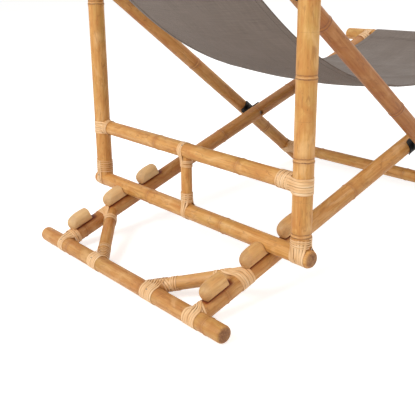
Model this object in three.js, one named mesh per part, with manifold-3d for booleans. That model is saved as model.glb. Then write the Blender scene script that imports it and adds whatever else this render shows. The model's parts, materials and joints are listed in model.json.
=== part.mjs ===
// Bamboo folding recliner: a back frame and a seat frame crossing on two bolts, a prop frame
// that hangs from the back frame and stands in a row of rack blocks, and a hung cloth sling.
// Millimetres, +Z up, the sitter faces -Y, the floor is z = 0.

import * as THREE from 'three';
import { mergeVertices } from 'three/addons/utils/BufferGeometryUtils.js';
import Module from 'manifold-3d';

const wasm = await Module();
wasm.setup();

// Driving dimensions: fits
const clearance = 0.3;
const cutOverrun = 20;

// Driving dimensions: poles
const seatRailRadius = 16.6;
const backRailRadius = 15.7;
const postRadius = 17.2;
const floorBarRadius = 15.6;
const frontBarRadius = 15.6;
const footStretcherRadius = 14;
const headBarRadius = 14;
const propBarRadius = 15.4;
const propUpperRadius = 14.9;
const strutRadius = 11;
const braceRadius = 13;
const tipRound = 8;
const poleSides = 16;
const tipSteps = 3;

// Driving dimensions: across the chair
const seatRailSpacing = 459;
const hingeGap = 11.1;
const pivotGap = 8.5;
const floorBarOverhang = 80.5;
const frontBarOverhang = 80.5;
const propBarOverhang = 28.2;

// Driving dimensions: in the side view
const seatRise = THREE.MathUtils.degToRad(15.87);
const backRise = THREE.MathUtils.degToRad(43.38);
const seatLength = 1060;
const floorBarToHinge = 601;
const hingeToFootStretcher = 189;
const hingeToPivot = 508.7;
const pivotToHeadBar = 335;
const headTip = 40;
const footHeelHeight = 5;
const propUpperRise = 124.4;
const postTip = 45;

// Driving dimensions: braces and rack
const braceFoot = 74;
const restNotch = 1;
const blockCount = 3;
const blockRadius = 14.7;
const blockLength = 57;
const blockHeelGap = 1.43;
const notchOpening = 39;
const braceHeadShare = 1.128;
const blockSeat = 1.2;
const notchPlay = 0.4;
const blockSlant = THREE.MathUtils.degToRad(30);

// Driving dimensions: hinge hardware
const boltRadius = 4;
const boltSides = 12;
const boltHeadRadius = 8.5;
const boltHeadHeight = 4;
const boltDomeSteps = 2;
const nutRadius = 5.5;
const nutLength = 10;
const nutDepth = 6;
const saddleLength = 46;
const saddleWall = 1.8;
const saddleLip = 1.2;
const saddleLipLength = 2.5;
const saddleBossRadius = 9;
const saddleWrap = THREE.MathUtils.degToRad(60);
const saddleSteps = 6;

// Driving dimensions: lashings of split cane
const caneWidth = 3.6;
const caneThickness = 1.3;
const canePitch = 4.5;
const caneTuck = 2.2;
const caneFlat = 0.5;
const ringSteps = 8;
const arcSteps = 6;
const arcHalfStep = THREE.MathUtils.degToRad(20);
const fullLashing = { straps: 3, rings: 2, shift: 0 };
const shortLashing = { straps: 2, rings: 0, shift: 0 };
const braceHeadLashing = { straps: 3, rings: 2, shift: 5 };

// Driving dimensions: sling
const slingEdgeGap = 5;
const slingThickness = 2;
const slingLowAhead = 165;
const slingLowRise = 99;
const slingSag = 15;
const slingFrontSlope = THREE.MathUtils.degToRad(22);
const slingBackSlope = THREE.MathUtils.degToRad(49);
const slingHandleShare = 0.42;
const slingSpanSteps = 6;
const slingColumns = 8;
const sleeveSteps = 8;
const sleeveTurn = THREE.MathUtils.degToRad(290);

// Colours in daylight
const bambooColour = 0xd29c5e;
const caneColour = 0xe0b780;
const clothColour = 0x7a6c62;
const saddleColour = 0x17130f;
const steelColour = 0x8f8a82;

// Places across the chair
const seatRailX = seatRailSpacing / 2;
const backRailX = seatRailX + seatRailRadius + hingeGap + backRailRadius;
const postX = backRailX + backRailRadius + pivotGap + postRadius;
const floorBarTipX = seatRailX + floorBarOverhang;
const frontBarTipX = seatRailX + frontBarOverhang;
const propBarTipX = postX + propBarOverhang;
const sides = { left: 1, right: -1 };

// A place in the side view: so far along a pole that rises rearward, and so far square to it
function sidePlace(origin, rise, along, square = 0) {
  const y = origin.y + along * Math.cos(rise) - square * Math.sin(rise);
  const z = origin.z + along * Math.sin(rise) + square * Math.cos(rise);
  return { y, z };
}

// A cane's inner corners stand off the pole, so that the flats between them clear it
function caneReach(poleRadius, halfStep) {
  return (poleRadius + clearance) / Math.cos(halfStep);
}

// A lashing's straps lie at one level round the through pole, clear of it and of the branch
function strapReach(throughRadius, branchRadius) {
  const inner = Math.max(caneReach(throughRadius, arcHalfStep), branchRadius + clearance);
  return inner + caneThickness / 2;
}

// The rack starts ahead of the floor bar's lashing. A brace's lashing lies in the first notch, so
// the brace's axis meets the rail's a share of the notch's opening past the first block
const lashingEnd = strapReach(floorBarRadius, seatRailRadius) + caneTuck
  + shortLashing.straps * canePitch + caneWidth / 2;
const firstNotch = lashingEnd + blockHeelGap + blockLength;
const rackPitch = blockLength + notchOpening;
const braceHead = firstNotch + braceHeadShare * notchOpening;

// The floor bar stands on its lashings, which are worn flat there
const floorBarHeight = caneReach(floorBarRadius, arcHalfStep) + caneThickness - caneFlat;
const floorBar = { y: 0, z: floorBarHeight };
const hinge = sidePlace(floorBar, -seatRise, -floorBarToHinge);
const pivot = sidePlace(hinge, backRise, hingeToPivot);
const headBar = sidePlace(pivot, backRise, pivotToHeadBar);
const frontBar = sidePlace(floorBar, -seatRise, -seatLength);
const propNotch = firstNotch + restNotch * rackPitch;
const propSeat = seatRailRadius + clearance + propBarRadius;
const propBar = sidePlace(floorBar, -seatRise, -propNotch, propSeat);
const propLean = Math.atan2(propBar.y - pivot.y, pivot.z - propBar.z);
const propLength = Math.hypot(propBar.y - pivot.y, pivot.z - propBar.z);
const footReach = (hinge.z - footHeelHeight) / Math.sin(backRise);

// The three frames. In the seat and back frames +Y runs rearward along the rails, and in the
// prop frame +Z runs up the posts. +Z and +Y there are square to the frame.
const chair = new THREE.Group();

function frameAt(place, turn) {
  const frame = new THREE.Group();
  frame.position.set(0, place.y, place.z);
  frame.rotation.x = turn;
  frame.updateMatrix();
  chair.add(frame);
  return frame;
}

const seatFrame = frameAt(floorBar, -seatRise);
const backFrame = frameAt(hinge, backRise);
const propFrame = frameAt(pivot, propLean);

// Materials: each mesh has its own, so that each piece can be coloured by itself
const finishes = {
  bamboo: { color: bambooColour, roughness: 0.45, metalness: 0 },
  cane: { color: caneColour, roughness: 0.6, metalness: 0 },
  plastic: { color: saddleColour, roughness: 0.5, metalness: 0 },
  steel: { color: steelColour, roughness: 0.35, metalness: 1 },
  cloth: { color: clothColour, roughness: 0.95, metalness: 0 },
};

// Solids: from a closed geometry, without the empty triangles that a lathe leaves on its axis
function solidOf(geometry) {
  const bare = geometry.clone();
  bare.deleteAttribute('normal');
  bare.deleteAttribute('uv');
  const merged = mergeVertices(bare);
  const corners = merged.index.array;
  const kept = [];
  for (let i = 0; i < corners.length; i += 3) {
    const [a, b, c] = corners.slice(i, i + 3);
    if (a !== b && b !== c && c !== a) kept.push(a, b, c);
  }
  return new wasm.Manifold(new wasm.Mesh({
    numProp: 3,
    vertProperties: new Float32Array(merged.attributes.position.array),
    triVerts: new Uint32Array(kept),
  }));
}

function geometryOf(solid) {
  const mesh = solid.getMesh();
  const geometry = new THREE.BufferGeometry();
  geometry.setAttribute('position', new THREE.BufferAttribute(mesh.vertProperties, mesh.numProp));
  geometry.setIndex(new THREE.BufferAttribute(mesh.triVerts, 1));
  geometry.computeVertexNormals();
  return geometry;
}

function addPiece(frame, name, shape, finish) {
  const geometry = shape.isBufferGeometry ? shape : geometryOf(shape);
  const piece = new THREE.Mesh(geometry, new THREE.MeshStandardMaterial(finishes[finish]));
  piece.name = name;
  frame.add(piece);
}

// A straight pole between two points, with each end cut square or rounded off
function pole(from, to, radius, { roundFrom = false, roundTo = false, segments = poleSides } = {}) {
  const axis = to.clone().sub(from);
  const length = axis.length();
  const ends = [
    { at: 0, inward: 1, rounded: roundFrom },
    { at: length, inward: -1, rounded: roundTo },
  ];
  const [start, finish] = ends.map(({ at, inward, rounded }) => {
    const ring = [new THREE.Vector2(0, at)];
    if (!rounded) return [...ring, new THREE.Vector2(radius, at)];
    for (let i = 1; i <= tipSteps; i += 1) {
      const turn = (Math.PI / 2) * (i / tipSteps);
      ring.push(new THREE.Vector2(radius * Math.sin(turn), at + inward * tipRound * (1 - Math.cos(turn))));
    }
    return ring;
  });
  const geometry = new THREE.LatheGeometry([...start, ...finish.reverse()], segments);
  const upright = new THREE.Vector3(0, 1, 0);
  geometry.applyQuaternion(new THREE.Quaternion().setFromUnitVectors(upright, axis.normalize()));
  geometry.translate(from.x, from.y, from.z);
  return solidOf(geometry);
}

function point(x, y, z = 0) {
  return new THREE.Vector3(x, y, z);
}

// A cutter the size of a neighbouring pole with its clearance, to cope an end round it
function copeCutter(from, to, radius) {
  const past = to.clone().sub(from).setLength(cutOverrun);
  return pole(from.clone().sub(past), to.clone().add(past), radius + clearance);
}

function boltHole(y, z = 0) {
  const reach = postX + postRadius + cutOverrun;
  return pole(point(-reach, y, z), point(reach, y, z), boltRadius + clearance, { segments: boltSides });
}

// A pocket in the inner face of a pole, in which the bolt's barrel nut lies below the skin
function nutPocket(sign, innerFace, y) {
  const mouth = point(sign * (innerFace - cutOverrun), y);
  const floor = point(sign * (innerFace + nutDepth + nutLength + clearance), y);
  return pole(mouth, floor, nutRadius + clearance, { segments: boltSides });
}

// Everything below the floor, in a frame's own directions
function belowFloor(frame) {
  const depth = 2 * seatLength;
  const block = new THREE.BoxGeometry(depth, 2 * depth, depth);
  block.translate(0, 0, -depth / 2);
  block.applyMatrix4(frame.matrix.clone().invert());
  return solidOf(block);
}

// A band of cane swept along a path of places, each with the direction that its face looks
function caneGeometry(path) {
  const positions = [];
  const triangles = [];
  path.forEach(({ place, out }, i) => {
    const before = path[Math.max(i - 1, 0)].place;
    const after = path[Math.min(i + 1, path.length - 1)].place;
    const run = after.clone().sub(before).normalize();
    const face = out.clone().addScaledVector(run, -out.dot(run)).normalize();
    const across = new THREE.Vector3().crossVectors(run, face);
    for (const [w, t] of [[-1, -1], [1, -1], [1, 1], [-1, 1]]) {
      const corner = place.clone().addScaledVector(across, w * caneWidth / 2);
      corner.addScaledVector(face, t * caneThickness / 2);
      positions.push(corner);
    }
  });
  const sections = path.length;
  for (let i = 0; i + 1 < sections; i += 1) {
    for (let k = 0; k < 4; k += 1) {
      const a = 4 * i + k;
      const b = 4 * i + ((k + 1) % 4);
      triangles.push(a, a + 4, b, b, a + 4, b + 4);
    }
  }
  const last = 4 * (sections - 1);
  triangles.push(0, 1, 2, 0, 2, 3, last, last + 2, last + 1, last, last + 3, last + 2);
  const geometry = new THREE.BufferGeometry().setFromPoints(positions);
  geometry.setIndex(triangles);
  geometry.computeVertexNormals();
  return geometry;
}

// The least distance between corners of a winding that are a turn or more apart along it
function leastSelfGap(geometry, stepsApart) {
  const corners = geometry.attributes.position;
  const a = new THREE.Vector3();
  const b = new THREE.Vector3();
  let least = Infinity;
  for (let i = 0; i < corners.count; i += 1) {
    a.fromBufferAttribute(corners, i);
    for (let j = i + 4 * stepsApart; j < corners.count; j += 1) {
      least = Math.min(least, a.distanceTo(b.fromBufferAttribute(corners, j)));
    }
  }
  return least;
}

// The path of one lashing, which ties a branch pole to the pole that runs through: rings round
// the branch, then straps that each cross over the branch and pass round the through pole
function lashingPath({ corner, through, branch, throughRadius, branchRadius, straps, rings, shift }) {
  const lean = through.dot(branch);
  const inward = branch.clone().addScaledVector(through, -lean).normalize();
  const upward = through.clone().addScaledVector(branch, -lean).normalize();
  const sideways = new THREE.Vector3().crossVectors(through, inward);
  const square = Math.sqrt(1 - lean * lean);
  const onThrough = strapReach(throughRadius, branchRadius);
  const onBranch = caneReach(branchRadius, Math.PI / ringSteps) + caneThickness / 2;
  const path = [];

  function branchStop(along, turn) {
    const out = upward.clone().multiplyScalar(Math.cos(turn)).addScaledVector(sideways, Math.sin(turn));
    const place = corner.clone().addScaledVector(branch, along).addScaledVector(out, onBranch);
    path.push({ place, out });
  }

  function throughStop(along, turn) {
    const out = inward.clone().multiplyScalar(-Math.cos(turn)).addScaledVector(sideways, Math.sin(turn));
    const place = corner.clone().addScaledVector(through, along).addScaledVector(out, onThrough);
    path.push({ place, out });
  }

  // Along the branch, the straps stand one pitch apart, from the far one to the near one
  const nearest = (onThrough + onBranch * lean) / square + caneTuck;
  const farthest = nearest + straps * canePitch;
  for (let i = 0; i < rings * ringSteps; i += 1) {
    const turns = rings - i / ringSteps;
    branchStop(farthest + turns * canePitch, -turns * 2 * Math.PI);
  }
  branchStop(farthest, 0);

  // Along the through pole, each strap is a pitch further up, half of it gained on the far side
  const middle = onThrough * lean / square + shift;
  for (let k = 0; k < straps; k += 1) {
    const heights = [0, 1].map((half) => middle + (k - (straps - 0.5) / 2 + half / 2) * canePitch / square);
    const turns = heights.map((height) => {
      const offset = (height * square - onThrough * lean) / onBranch;
      return Math.acos(THREE.MathUtils.clamp(offset, -1, 1));
    });
    const sweeps = turns.map((turn) => {
      const level = (Math.sin(turn) * onBranch + onThrough) / (2 * onThrough);
      return Math.PI - Math.asin(Math.min(level, 1));
    });
    const stops = turns.map((turn) => Math.ceil(turn * ringSteps / (2 * Math.PI)));
    for (let i = 1; i <= stops[0]; i += 1) {
      branchStop(farthest - k * canePitch, turns[0] * i / stops[0]);
    }
    for (let i = 0; i <= arcSteps; i += 1) {
      const share = i / arcSteps;
      throughStop(
        THREE.MathUtils.lerp(heights[0], heights[1], share),
        THREE.MathUtils.lerp(sweeps[0], -sweeps[1], share),
      );
    }
    for (let i = stops[1]; i >= 0; i -= 1) {
      branchStop(farthest - (k + 1) * canePitch, -turns[1] * i / stops[1]);
    }
  }
  return path;
}

function addLashing(frame, name, joint, cutter) {
  const geometry = caneGeometry(lashingPath(joint));
  console.log(`${name}: least gap to itself ${leastSelfGap(geometry, ringSteps).toFixed(2)} mm`);
  addPiece(frame, name, cutter ? solidOf(geometry).subtract(cutter) : geometry, 'cane');
}

// Seat frame: rails, floor bar, front bar, corner braces and rack blocks
function seatRail(sign) {
  const x = sign * seatRailX;
  return pole(point(x, 0), point(x, -seatLength), seatRailRadius);
}

function crossBar(tipX, y, z, radius) {
  return pole(point(-tipX, y, z), point(tipX, y, z), radius, { roundFrom: true, roundTo: true });
}

function crossCutter(y, z, radius) {
  return copeCutter(point(-propBarTipX, y, z), point(propBarTipX, y, z), radius);
}

function rackBlock(sign, index) {
  const x = sign * seatRailX;
  const along = firstNotch + index * rackPitch;
  const height = seatRailRadius + blockRadius - blockSeat;
  const heel = along - blockLength;
  const billet = pole(point(x, -along, height), point(x, cutOverrun - heel, height), blockRadius);
  const slant = new THREE.BoxGeometry(4 * blockRadius, 2 * cutOverrun, 6 * blockRadius);
  slant.translate(0, cutOverrun, 0);
  slant.rotateX(blockSlant);
  slant.translate(x, -heel, seatRailRadius);
  const bar = crossCutter(-along, propSeat, propBarRadius + notchPlay);
  const rail = copeCutter(point(x, 0), point(x, -seatLength), seatRailRadius);
  return billet.subtract(solidOf(slant)).subtract(bar).subtract(rail);
}

function addSeatFrame() {
  const frontBarPole = crossBar(frontBarTipX, -seatLength, 0, frontBarRadius);
  addPiece(seatFrame, 'rear_floor_bar', crossBar(floorBarTipX, 0, 0, floorBarRadius), 'bamboo');
  addPiece(seatFrame, 'front_bar', frontBarPole, 'bamboo');
  const floorBarCutter = crossCutter(0, 0, floorBarRadius);
  const frontBarCutter = crossCutter(-seatLength, 0, frontBarRadius);
  const below = belowFloor(seatFrame);
  for (const [side, sign] of Object.entries(sides)) {
    const x = sign * seatRailX;
    const rail = seatRail(sign).subtract(floorBarCutter).subtract(frontBarCutter);
    const pocket = nutPocket(sign, seatRailX - seatRailRadius, -floorBarToHinge);
    const bored = rail.subtract(boltHole(-floorBarToHinge)).subtract(pocket);
    addPiece(seatFrame, `seat_rail_${side}`, bored, 'bamboo');

    const foot = point(sign * braceFoot, 0);
    const head = point(x, -braceHead);
    const railCutter = copeCutter(point(x, 0), point(x, -seatLength), seatRailRadius);
    const brace = pole(foot, head, braceRadius).subtract(floorBarCutter).subtract(railCutter);
    addPiece(seatFrame, `corner_brace_${side}`, brace, 'bamboo');

    for (let i = 0; i < blockCount; i += 1) {
      addPiece(seatFrame, `rack_block_${side}_${i + 1}`, rackBlock(sign, i), 'bamboo');
    }

    const outward = point(sign, 0);
    const rearward = point(0, 1);
    const forward = point(0, -1);
    const alongBrace = head.clone().sub(foot).normalize();
    addLashing(seatFrame, `lashing_floor_bar_${side}`, {
      corner: point(x, 0),
      through: outward,
      branch: forward,
      throughRadius: floorBarRadius,
      branchRadius: seatRailRadius,
      ...shortLashing,
    }, below);
    addLashing(seatFrame, `lashing_front_bar_${side}`, {
      corner: point(x, -seatLength),
      through: outward,
      branch: rearward,
      throughRadius: frontBarRadius,
      branchRadius: seatRailRadius,
      ...fullLashing,
    });
    addLashing(seatFrame, `lashing_brace_foot_${side}`, {
      corner: foot,
      through: outward,
      branch: alongBrace,
      throughRadius: floorBarRadius,
      branchRadius: braceRadius,
      ...fullLashing,
    }, below);
    addLashing(seatFrame, `lashing_brace_head_${side}`, {
      corner: head,
      through: rearward,
      branch: alongBrace.clone().negate(),
      throughRadius: seatRailRadius,
      branchRadius: braceRadius,
      ...braceHeadLashing,
    });
  }
}

// Back frame: rails that stand on the floor, a foot stretcher and a head bar
function addBackFrame() {
  const footY = -hingeToFootStretcher;
  const headY = hingeToPivot + pivotToHeadBar;
  const below = belowFloor(backFrame);
  const rails = Object.values(sides).map((sign) => {
    const x = sign * backRailX;
    return copeCutter(point(x, -footReach), point(x, headY), backRailRadius);
  });
  const between = [
    { name: 'foot_stretcher', y: footY, radius: footStretcherRadius, above: 1 },
    { name: 'head_bar', y: headY, radius: headBarRadius, above: -1 },
  ];
  for (const { name, y, radius, above } of between) {
    const bar = pole(point(-backRailX, y), point(backRailX, y), radius);
    addPiece(backFrame, name, bar.subtract(rails[0]).subtract(rails[1]), 'bamboo');
    for (const [side, sign] of Object.entries(sides)) {
      addLashing(backFrame, `lashing_${name}_${side}`, {
        corner: point(sign * backRailX, y),
        through: point(0, above),
        branch: point(-sign, 0),
        throughRadius: backRailRadius,
        branchRadius: radius,
        ...fullLashing,
      });
    }
  }
  for (const [side, sign] of Object.entries(sides)) {
    const x = sign * backRailX;
    const rail = pole(point(x, -footReach), point(x, headY + headTip), backRailRadius, { roundTo: true });
    const pocket = nutPocket(sign, backRailX - backRailRadius, hingeToPivot);
    const bored = rail.subtract(boltHole(0)).subtract(boltHole(hingeToPivot)).subtract(pocket);
    addPiece(backFrame, `back_rail_${side}`, bored.subtract(below), 'bamboo');
  }
}

// Prop frame: posts on a lower bar that rests in the rack, an upper bar and a strut
function addPropFrame() {
  const lowerZ = -propLength;
  const upperZ = lowerZ + propUpperRise;
  addPiece(propFrame, 'prop_lower_bar', crossBar(propBarTipX, 0, lowerZ, propBarRadius), 'bamboo');
  const lowerCutter = crossCutter(0, lowerZ, propBarRadius);
  const upperCutter = crossCutter(0, upperZ, propUpperRadius);
  const strut = pole(point(0, 0, lowerZ), point(0, 0, upperZ), strutRadius);
  addPiece(propFrame, 'prop_strut', strut.subtract(lowerCutter).subtract(upperCutter), 'bamboo');

  let upper = pole(point(-postX, 0, upperZ), point(postX, 0, upperZ), propUpperRadius);
  for (const [side, sign] of Object.entries(sides)) {
    const x = sign * postX;
    const post = pole(point(x, 0, lowerZ), point(x, 0, postTip), postRadius, { roundTo: true });
    addPiece(propFrame, `prop_post_${side}`, post.subtract(lowerCutter).subtract(boltHole(0)), 'bamboo');
    upper = upper.subtract(copeCutter(point(x, 0, lowerZ), point(x, 0, postTip), postRadius));
    addLashing(propFrame, `lashing_post_foot_${side}`, {
      corner: point(x, 0, lowerZ),
      through: point(sign, 0),
      branch: point(0, 0, 1),
      throughRadius: propBarRadius,
      branchRadius: postRadius,
      ...fullLashing,
    });
    addLashing(propFrame, `lashing_upper_bar_${side}`, {
      corner: point(x, 0, upperZ),
      through: point(0, 0, 1),
      branch: point(-sign, 0),
      throughRadius: postRadius,
      branchRadius: propUpperRadius,
      ...fullLashing,
    });
  }
  addPiece(propFrame, 'prop_upper_bar', upper, 'bamboo');
  addLashing(propFrame, 'lashing_strut_top', {
    corner: point(0, 0, upperZ),
    through: point(1, 0),
    branch: point(0, 0, -1),
    throughRadius: propUpperRadius,
    branchRadius: strutRadius,
    ...fullLashing,
  });
  addLashing(propFrame, 'lashing_strut_foot', {
    corner: point(0, 0, lowerZ),
    through: point(1, 0),
    branch: point(0, 0, 1),
    throughRadius: propBarRadius,
    branchRadius: strutRadius,
    ...fullLashing,
  });
}

// A saddle: a moulded cup on the side of a pole that runs along Y, facing +X, with a lip at each
// end and a round boss that meets the boss of the saddle on the other pole
function saddleGeometry(poleRadius, gap) {
  const inner = poleRadius + clearance;
  function cup(thickness, length, middle) {
    const outline = new THREE.Shape();
    outline.absarc(0, 0, inner + thickness, -saddleWrap, saddleWrap, false);
    outline.absarc(0, 0, inner, saddleWrap, -saddleWrap, true);
    const geometry = new THREE.ExtrudeGeometry(outline, {
      depth: length,
      bevelEnabled: false,
      curveSegments: saddleSteps,
    });
    geometry.translate(0, 0, -length / 2);
    geometry.rotateX(Math.PI / 2);
    geometry.translate(0, middle, 0);
    return solidOf(geometry);
  }
  const lipY = (saddleLength - saddleLipLength) / 2;
  const bossTip = poleRadius + (gap - clearance) / 2;
  const bossRoot = poleRadius + clearance + saddleWall / 2;
  return cup(saddleWall, saddleLength, 0)
    .add(cup(saddleWall + saddleLip, saddleLipLength, lipY))
    .add(cup(saddleWall + saddleLip, saddleLipLength, -lipY))
    .add(pole(point(bossRoot, 0), point(bossTip, 0), saddleBossRadius, { segments: boltSides }))
    .subtract(boltHole(0));
}

function addSaddle(frame, name, { x, y, poleRadius, gap, facing, upright = false }) {
  const geometry = geometryOf(saddleGeometry(poleRadius, gap));
  if (facing < 0) geometry.rotateZ(Math.PI);
  if (upright) geometry.rotateX(Math.PI / 2);
  geometry.translate(x, y, 0);
  addPiece(frame, name, geometry, 'plastic');
}

// A bolt along X with a domed head outside its outer pole, and its barrel nut sunk in the inner pole
function addBolt(frame, { joint, side, y, outerFace, innerFace }) {
  const sign = sides[side];
  const headAt = outerFace + clearance;
  const tailAt = innerFace + nutDepth;
  const profile = [
    new THREE.Vector2(0, tailAt),
    new THREE.Vector2(boltRadius, tailAt),
    new THREE.Vector2(boltRadius, headAt),
    new THREE.Vector2(boltHeadRadius, headAt),
  ];
  for (let i = 0; i <= boltDomeSteps; i += 1) {
    const turn = (Math.PI / 2) * (i / boltDomeSteps);
    const height = boltHeadHeight * (1 + Math.sin(turn)) / 2;
    profile.push(new THREE.Vector2(boltHeadRadius * Math.cos(turn), headAt + height));
  }
  const bolt = new THREE.LatheGeometry(profile, boltSides);
  bolt.rotateZ(-sign * Math.PI / 2);
  bolt.translate(0, y, 0);
  addPiece(frame, `${joint}_bolt_${side}`, solidOf(bolt), 'steel');

  const barrel = pole(
    point(sign * tailAt, y),
    point(sign * (tailAt + nutLength), y),
    nutRadius,
    { segments: boltSides },
  );
  addPiece(frame, `${joint}_nut_${side}`, barrel.subtract(boltHole(y)), 'steel');
}

function addHinges() {
  for (const [side, sign] of Object.entries(sides)) {
    addSaddle(backFrame, `hinge_saddle_outer_${side}`, {
      x: sign * backRailX, y: 0, poleRadius: backRailRadius, gap: hingeGap, facing: -sign,
    });
    addSaddle(seatFrame, `hinge_saddle_inner_${side}`, {
      x: sign * seatRailX, y: -floorBarToHinge, poleRadius: seatRailRadius, gap: hingeGap, facing: sign,
    });
    addSaddle(propFrame, `pivot_saddle_outer_${side}`, {
      x: sign * postX, y: 0, poleRadius: postRadius, gap: pivotGap, facing: -sign, upright: true,
    });
    addSaddle(backFrame, `pivot_saddle_inner_${side}`, {
      x: sign * backRailX, y: hingeToPivot, poleRadius: backRailRadius, gap: pivotGap, facing: sign,
    });
    addBolt(backFrame, {
      joint: 'hinge',
      side,
      y: 0,
      outerFace: backRailX + backRailRadius,
      innerFace: seatRailX - seatRailRadius,
    });
    addBolt(backFrame, {
      joint: 'pivot',
      side,
      y: hingeToPivot,
      outerFace: postX + postRadius,
      innerFace: backRailX - backRailRadius,
    });
  }
}

// Sling: one length of cloth with a sleeve round the front bar and another round the head bar,
// hanging in a curve between them and lower in the middle than along its edges
function sleevePlaces(bar, barRadius, slope, turnSign) {
  const radius = barRadius + clearance + slingThickness / 2;
  const places = [];
  for (let i = 0; i <= sleeveSteps; i += 1) {
    const turn = slope + Math.PI / 2 + turnSign * sleeveTurn * (i / sleeveSteps);
    const reach = radius / Math.cos(sleeveTurn / (2 * sleeveSteps));
    places.push(new THREE.Vector2(bar.y + reach * Math.cos(turn), bar.z + reach * Math.sin(turn)));
  }
  return places;
}

function slingPlaces() {
  const front = sleevePlaces(frontBar, frontBarRadius, -slingFrontSlope, 1);
  const back = sleevePlaces(headBar, headBarRadius, slingBackSlope, -1);
  const low = new THREE.Vector2(hinge.y - slingLowAhead, hinge.z + slingLowRise);
  const spans = [
    { from: front[0], to: low, fromSlope: -slingFrontSlope, toSlope: 0 },
    { from: low, to: back[0], fromSlope: 0, toSlope: slingBackSlope },
  ];
  const middle = [];
  spans.forEach(({ from, to, fromSlope, toSlope }, which) => {
    const handle = from.distanceTo(to) * slingHandleShare;
    const curve = new THREE.CubicBezierCurve(
      from,
      new THREE.Vector2(from.x + handle * Math.cos(fromSlope), from.y + handle * Math.sin(fromSlope)),
      new THREE.Vector2(to.x - handle * Math.cos(toSlope), to.y - handle * Math.sin(toSlope)),
      to,
    );
    const steps = slingSpanSteps * (which + 1);
    middle.push(...curve.getPoints(steps).slice(1));
  });
  middle.pop();
  return { places: [...front.reverse(), ...middle, ...back], sleeve: front.length, span: middle.length };
}

function slingGeometry() {
  const { places, sleeve, span } = slingPlaces();
  const lashingReach = caneReach(seatRailRadius, Math.PI / ringSteps) + caneThickness;
  const edgeX = seatRailX - lashingReach - slingEdgeGap;
  const rows = places.length;
  const columns = slingColumns + 1;
  const positions = [];
  for (const face of [1, -1]) {
    places.forEach((place, i) => {
      const before = places[Math.max(i - 1, 0)];
      const after = places[Math.min(i + 1, rows - 1)];
      const run = after.clone().sub(before).normalize();
      const share = THREE.MathUtils.clamp((i - sleeve + 1) / (span + 1), 0, 1);
      for (let j = 0; j < columns; j += 1) {
        const across = 2 * j / slingColumns - 1;
        const drop = slingSag * Math.sin(Math.PI * share) * (1 - across * across);
        const lift = face * slingThickness / 2;
        positions.push(new THREE.Vector3(
          across * edgeX,
          place.x - lift * run.y,
          place.y + lift * run.x - drop,
        ));
      }
    });
  }
  const triangles = [];
  const at = (face, i, j) => (face * rows + i) * columns + j;
  const quad = (a, b, c, d) => triangles.push(a, b, c, a, c, d);
  const lastRow = rows - 1;
  const lastColumn = slingColumns;
  for (let i = 0; i < lastRow; i += 1) {
    for (let j = 0; j < lastColumn; j += 1) {
      quad(at(0, i, j), at(0, i, j + 1), at(0, i + 1, j + 1), at(0, i + 1, j));
      quad(at(1, i, j), at(1, i + 1, j), at(1, i + 1, j + 1), at(1, i, j + 1));
    }
    quad(at(0, i, 0), at(0, i + 1, 0), at(1, i + 1, 0), at(1, i, 0));
    quad(at(0, i, lastColumn), at(1, i, lastColumn), at(1, i + 1, lastColumn), at(0, i + 1, lastColumn));
  }
  for (let j = 0; j < lastColumn; j += 1) {
    quad(at(0, 0, j), at(1, 0, j), at(1, 0, j + 1), at(0, 0, j + 1));
    quad(at(0, lastRow, j), at(0, lastRow, j + 1), at(1, lastRow, j + 1), at(1, lastRow, j));
  }
  const geometry = new THREE.BufferGeometry().setFromPoints(positions);
  geometry.setIndex(triangles);
  geometry.computeVertexNormals();
  return geometry;
}

addSeatFrame();
addBackFrame();
addPropFrame();
addHinges();
addPiece(chair, 'sling', slingGeometry(), 'cloth');

// The origin is on the floor, under the middle of the chair's box
const box = new THREE.Box3().setFromObject(chair, true);
chair.position.y = -(box.min.y + box.max.y) / 2;
const group = new THREE.Group();
group.add(chair);

export default group;
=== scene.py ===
# %% [markdown]
# # A folding recliner of bamboo poles
# The chair is three frames of solid bamboo poles, tied with split cane, and one length of canvas.
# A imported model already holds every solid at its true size. This notebook dresses that model:
# it loads the frame, grows a detailed piece round each solid, and hands each piece to the body
# that it moves with. All lengths in the tables are millimetres, and Blender's are metres.

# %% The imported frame
import json
import math

import bmesh
import bpy
import numpy as np
from mathutils import Matrix, Vector

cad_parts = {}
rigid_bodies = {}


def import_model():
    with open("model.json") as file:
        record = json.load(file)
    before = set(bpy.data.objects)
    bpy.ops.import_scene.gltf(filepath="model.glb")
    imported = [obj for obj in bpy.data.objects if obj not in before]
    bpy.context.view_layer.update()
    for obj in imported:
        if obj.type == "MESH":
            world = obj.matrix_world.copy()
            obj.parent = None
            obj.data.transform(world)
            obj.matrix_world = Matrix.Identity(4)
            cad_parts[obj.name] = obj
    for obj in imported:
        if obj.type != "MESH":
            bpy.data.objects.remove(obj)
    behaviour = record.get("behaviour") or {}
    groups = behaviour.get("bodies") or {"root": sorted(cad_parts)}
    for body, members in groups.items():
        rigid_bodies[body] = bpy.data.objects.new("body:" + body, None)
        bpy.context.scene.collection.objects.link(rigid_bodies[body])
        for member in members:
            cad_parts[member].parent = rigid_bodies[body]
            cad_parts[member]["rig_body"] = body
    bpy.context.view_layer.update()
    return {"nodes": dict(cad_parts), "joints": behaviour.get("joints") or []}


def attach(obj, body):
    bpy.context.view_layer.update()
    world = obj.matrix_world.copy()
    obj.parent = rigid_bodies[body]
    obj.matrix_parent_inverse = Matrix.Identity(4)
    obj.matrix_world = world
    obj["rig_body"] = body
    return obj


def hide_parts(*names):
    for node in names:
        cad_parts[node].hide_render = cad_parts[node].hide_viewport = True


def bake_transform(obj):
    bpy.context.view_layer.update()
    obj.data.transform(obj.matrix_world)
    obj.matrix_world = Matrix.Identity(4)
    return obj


MM = 0.001
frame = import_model()
joints = {joint["name"]: joint for joint in frame["joints"]}

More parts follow.
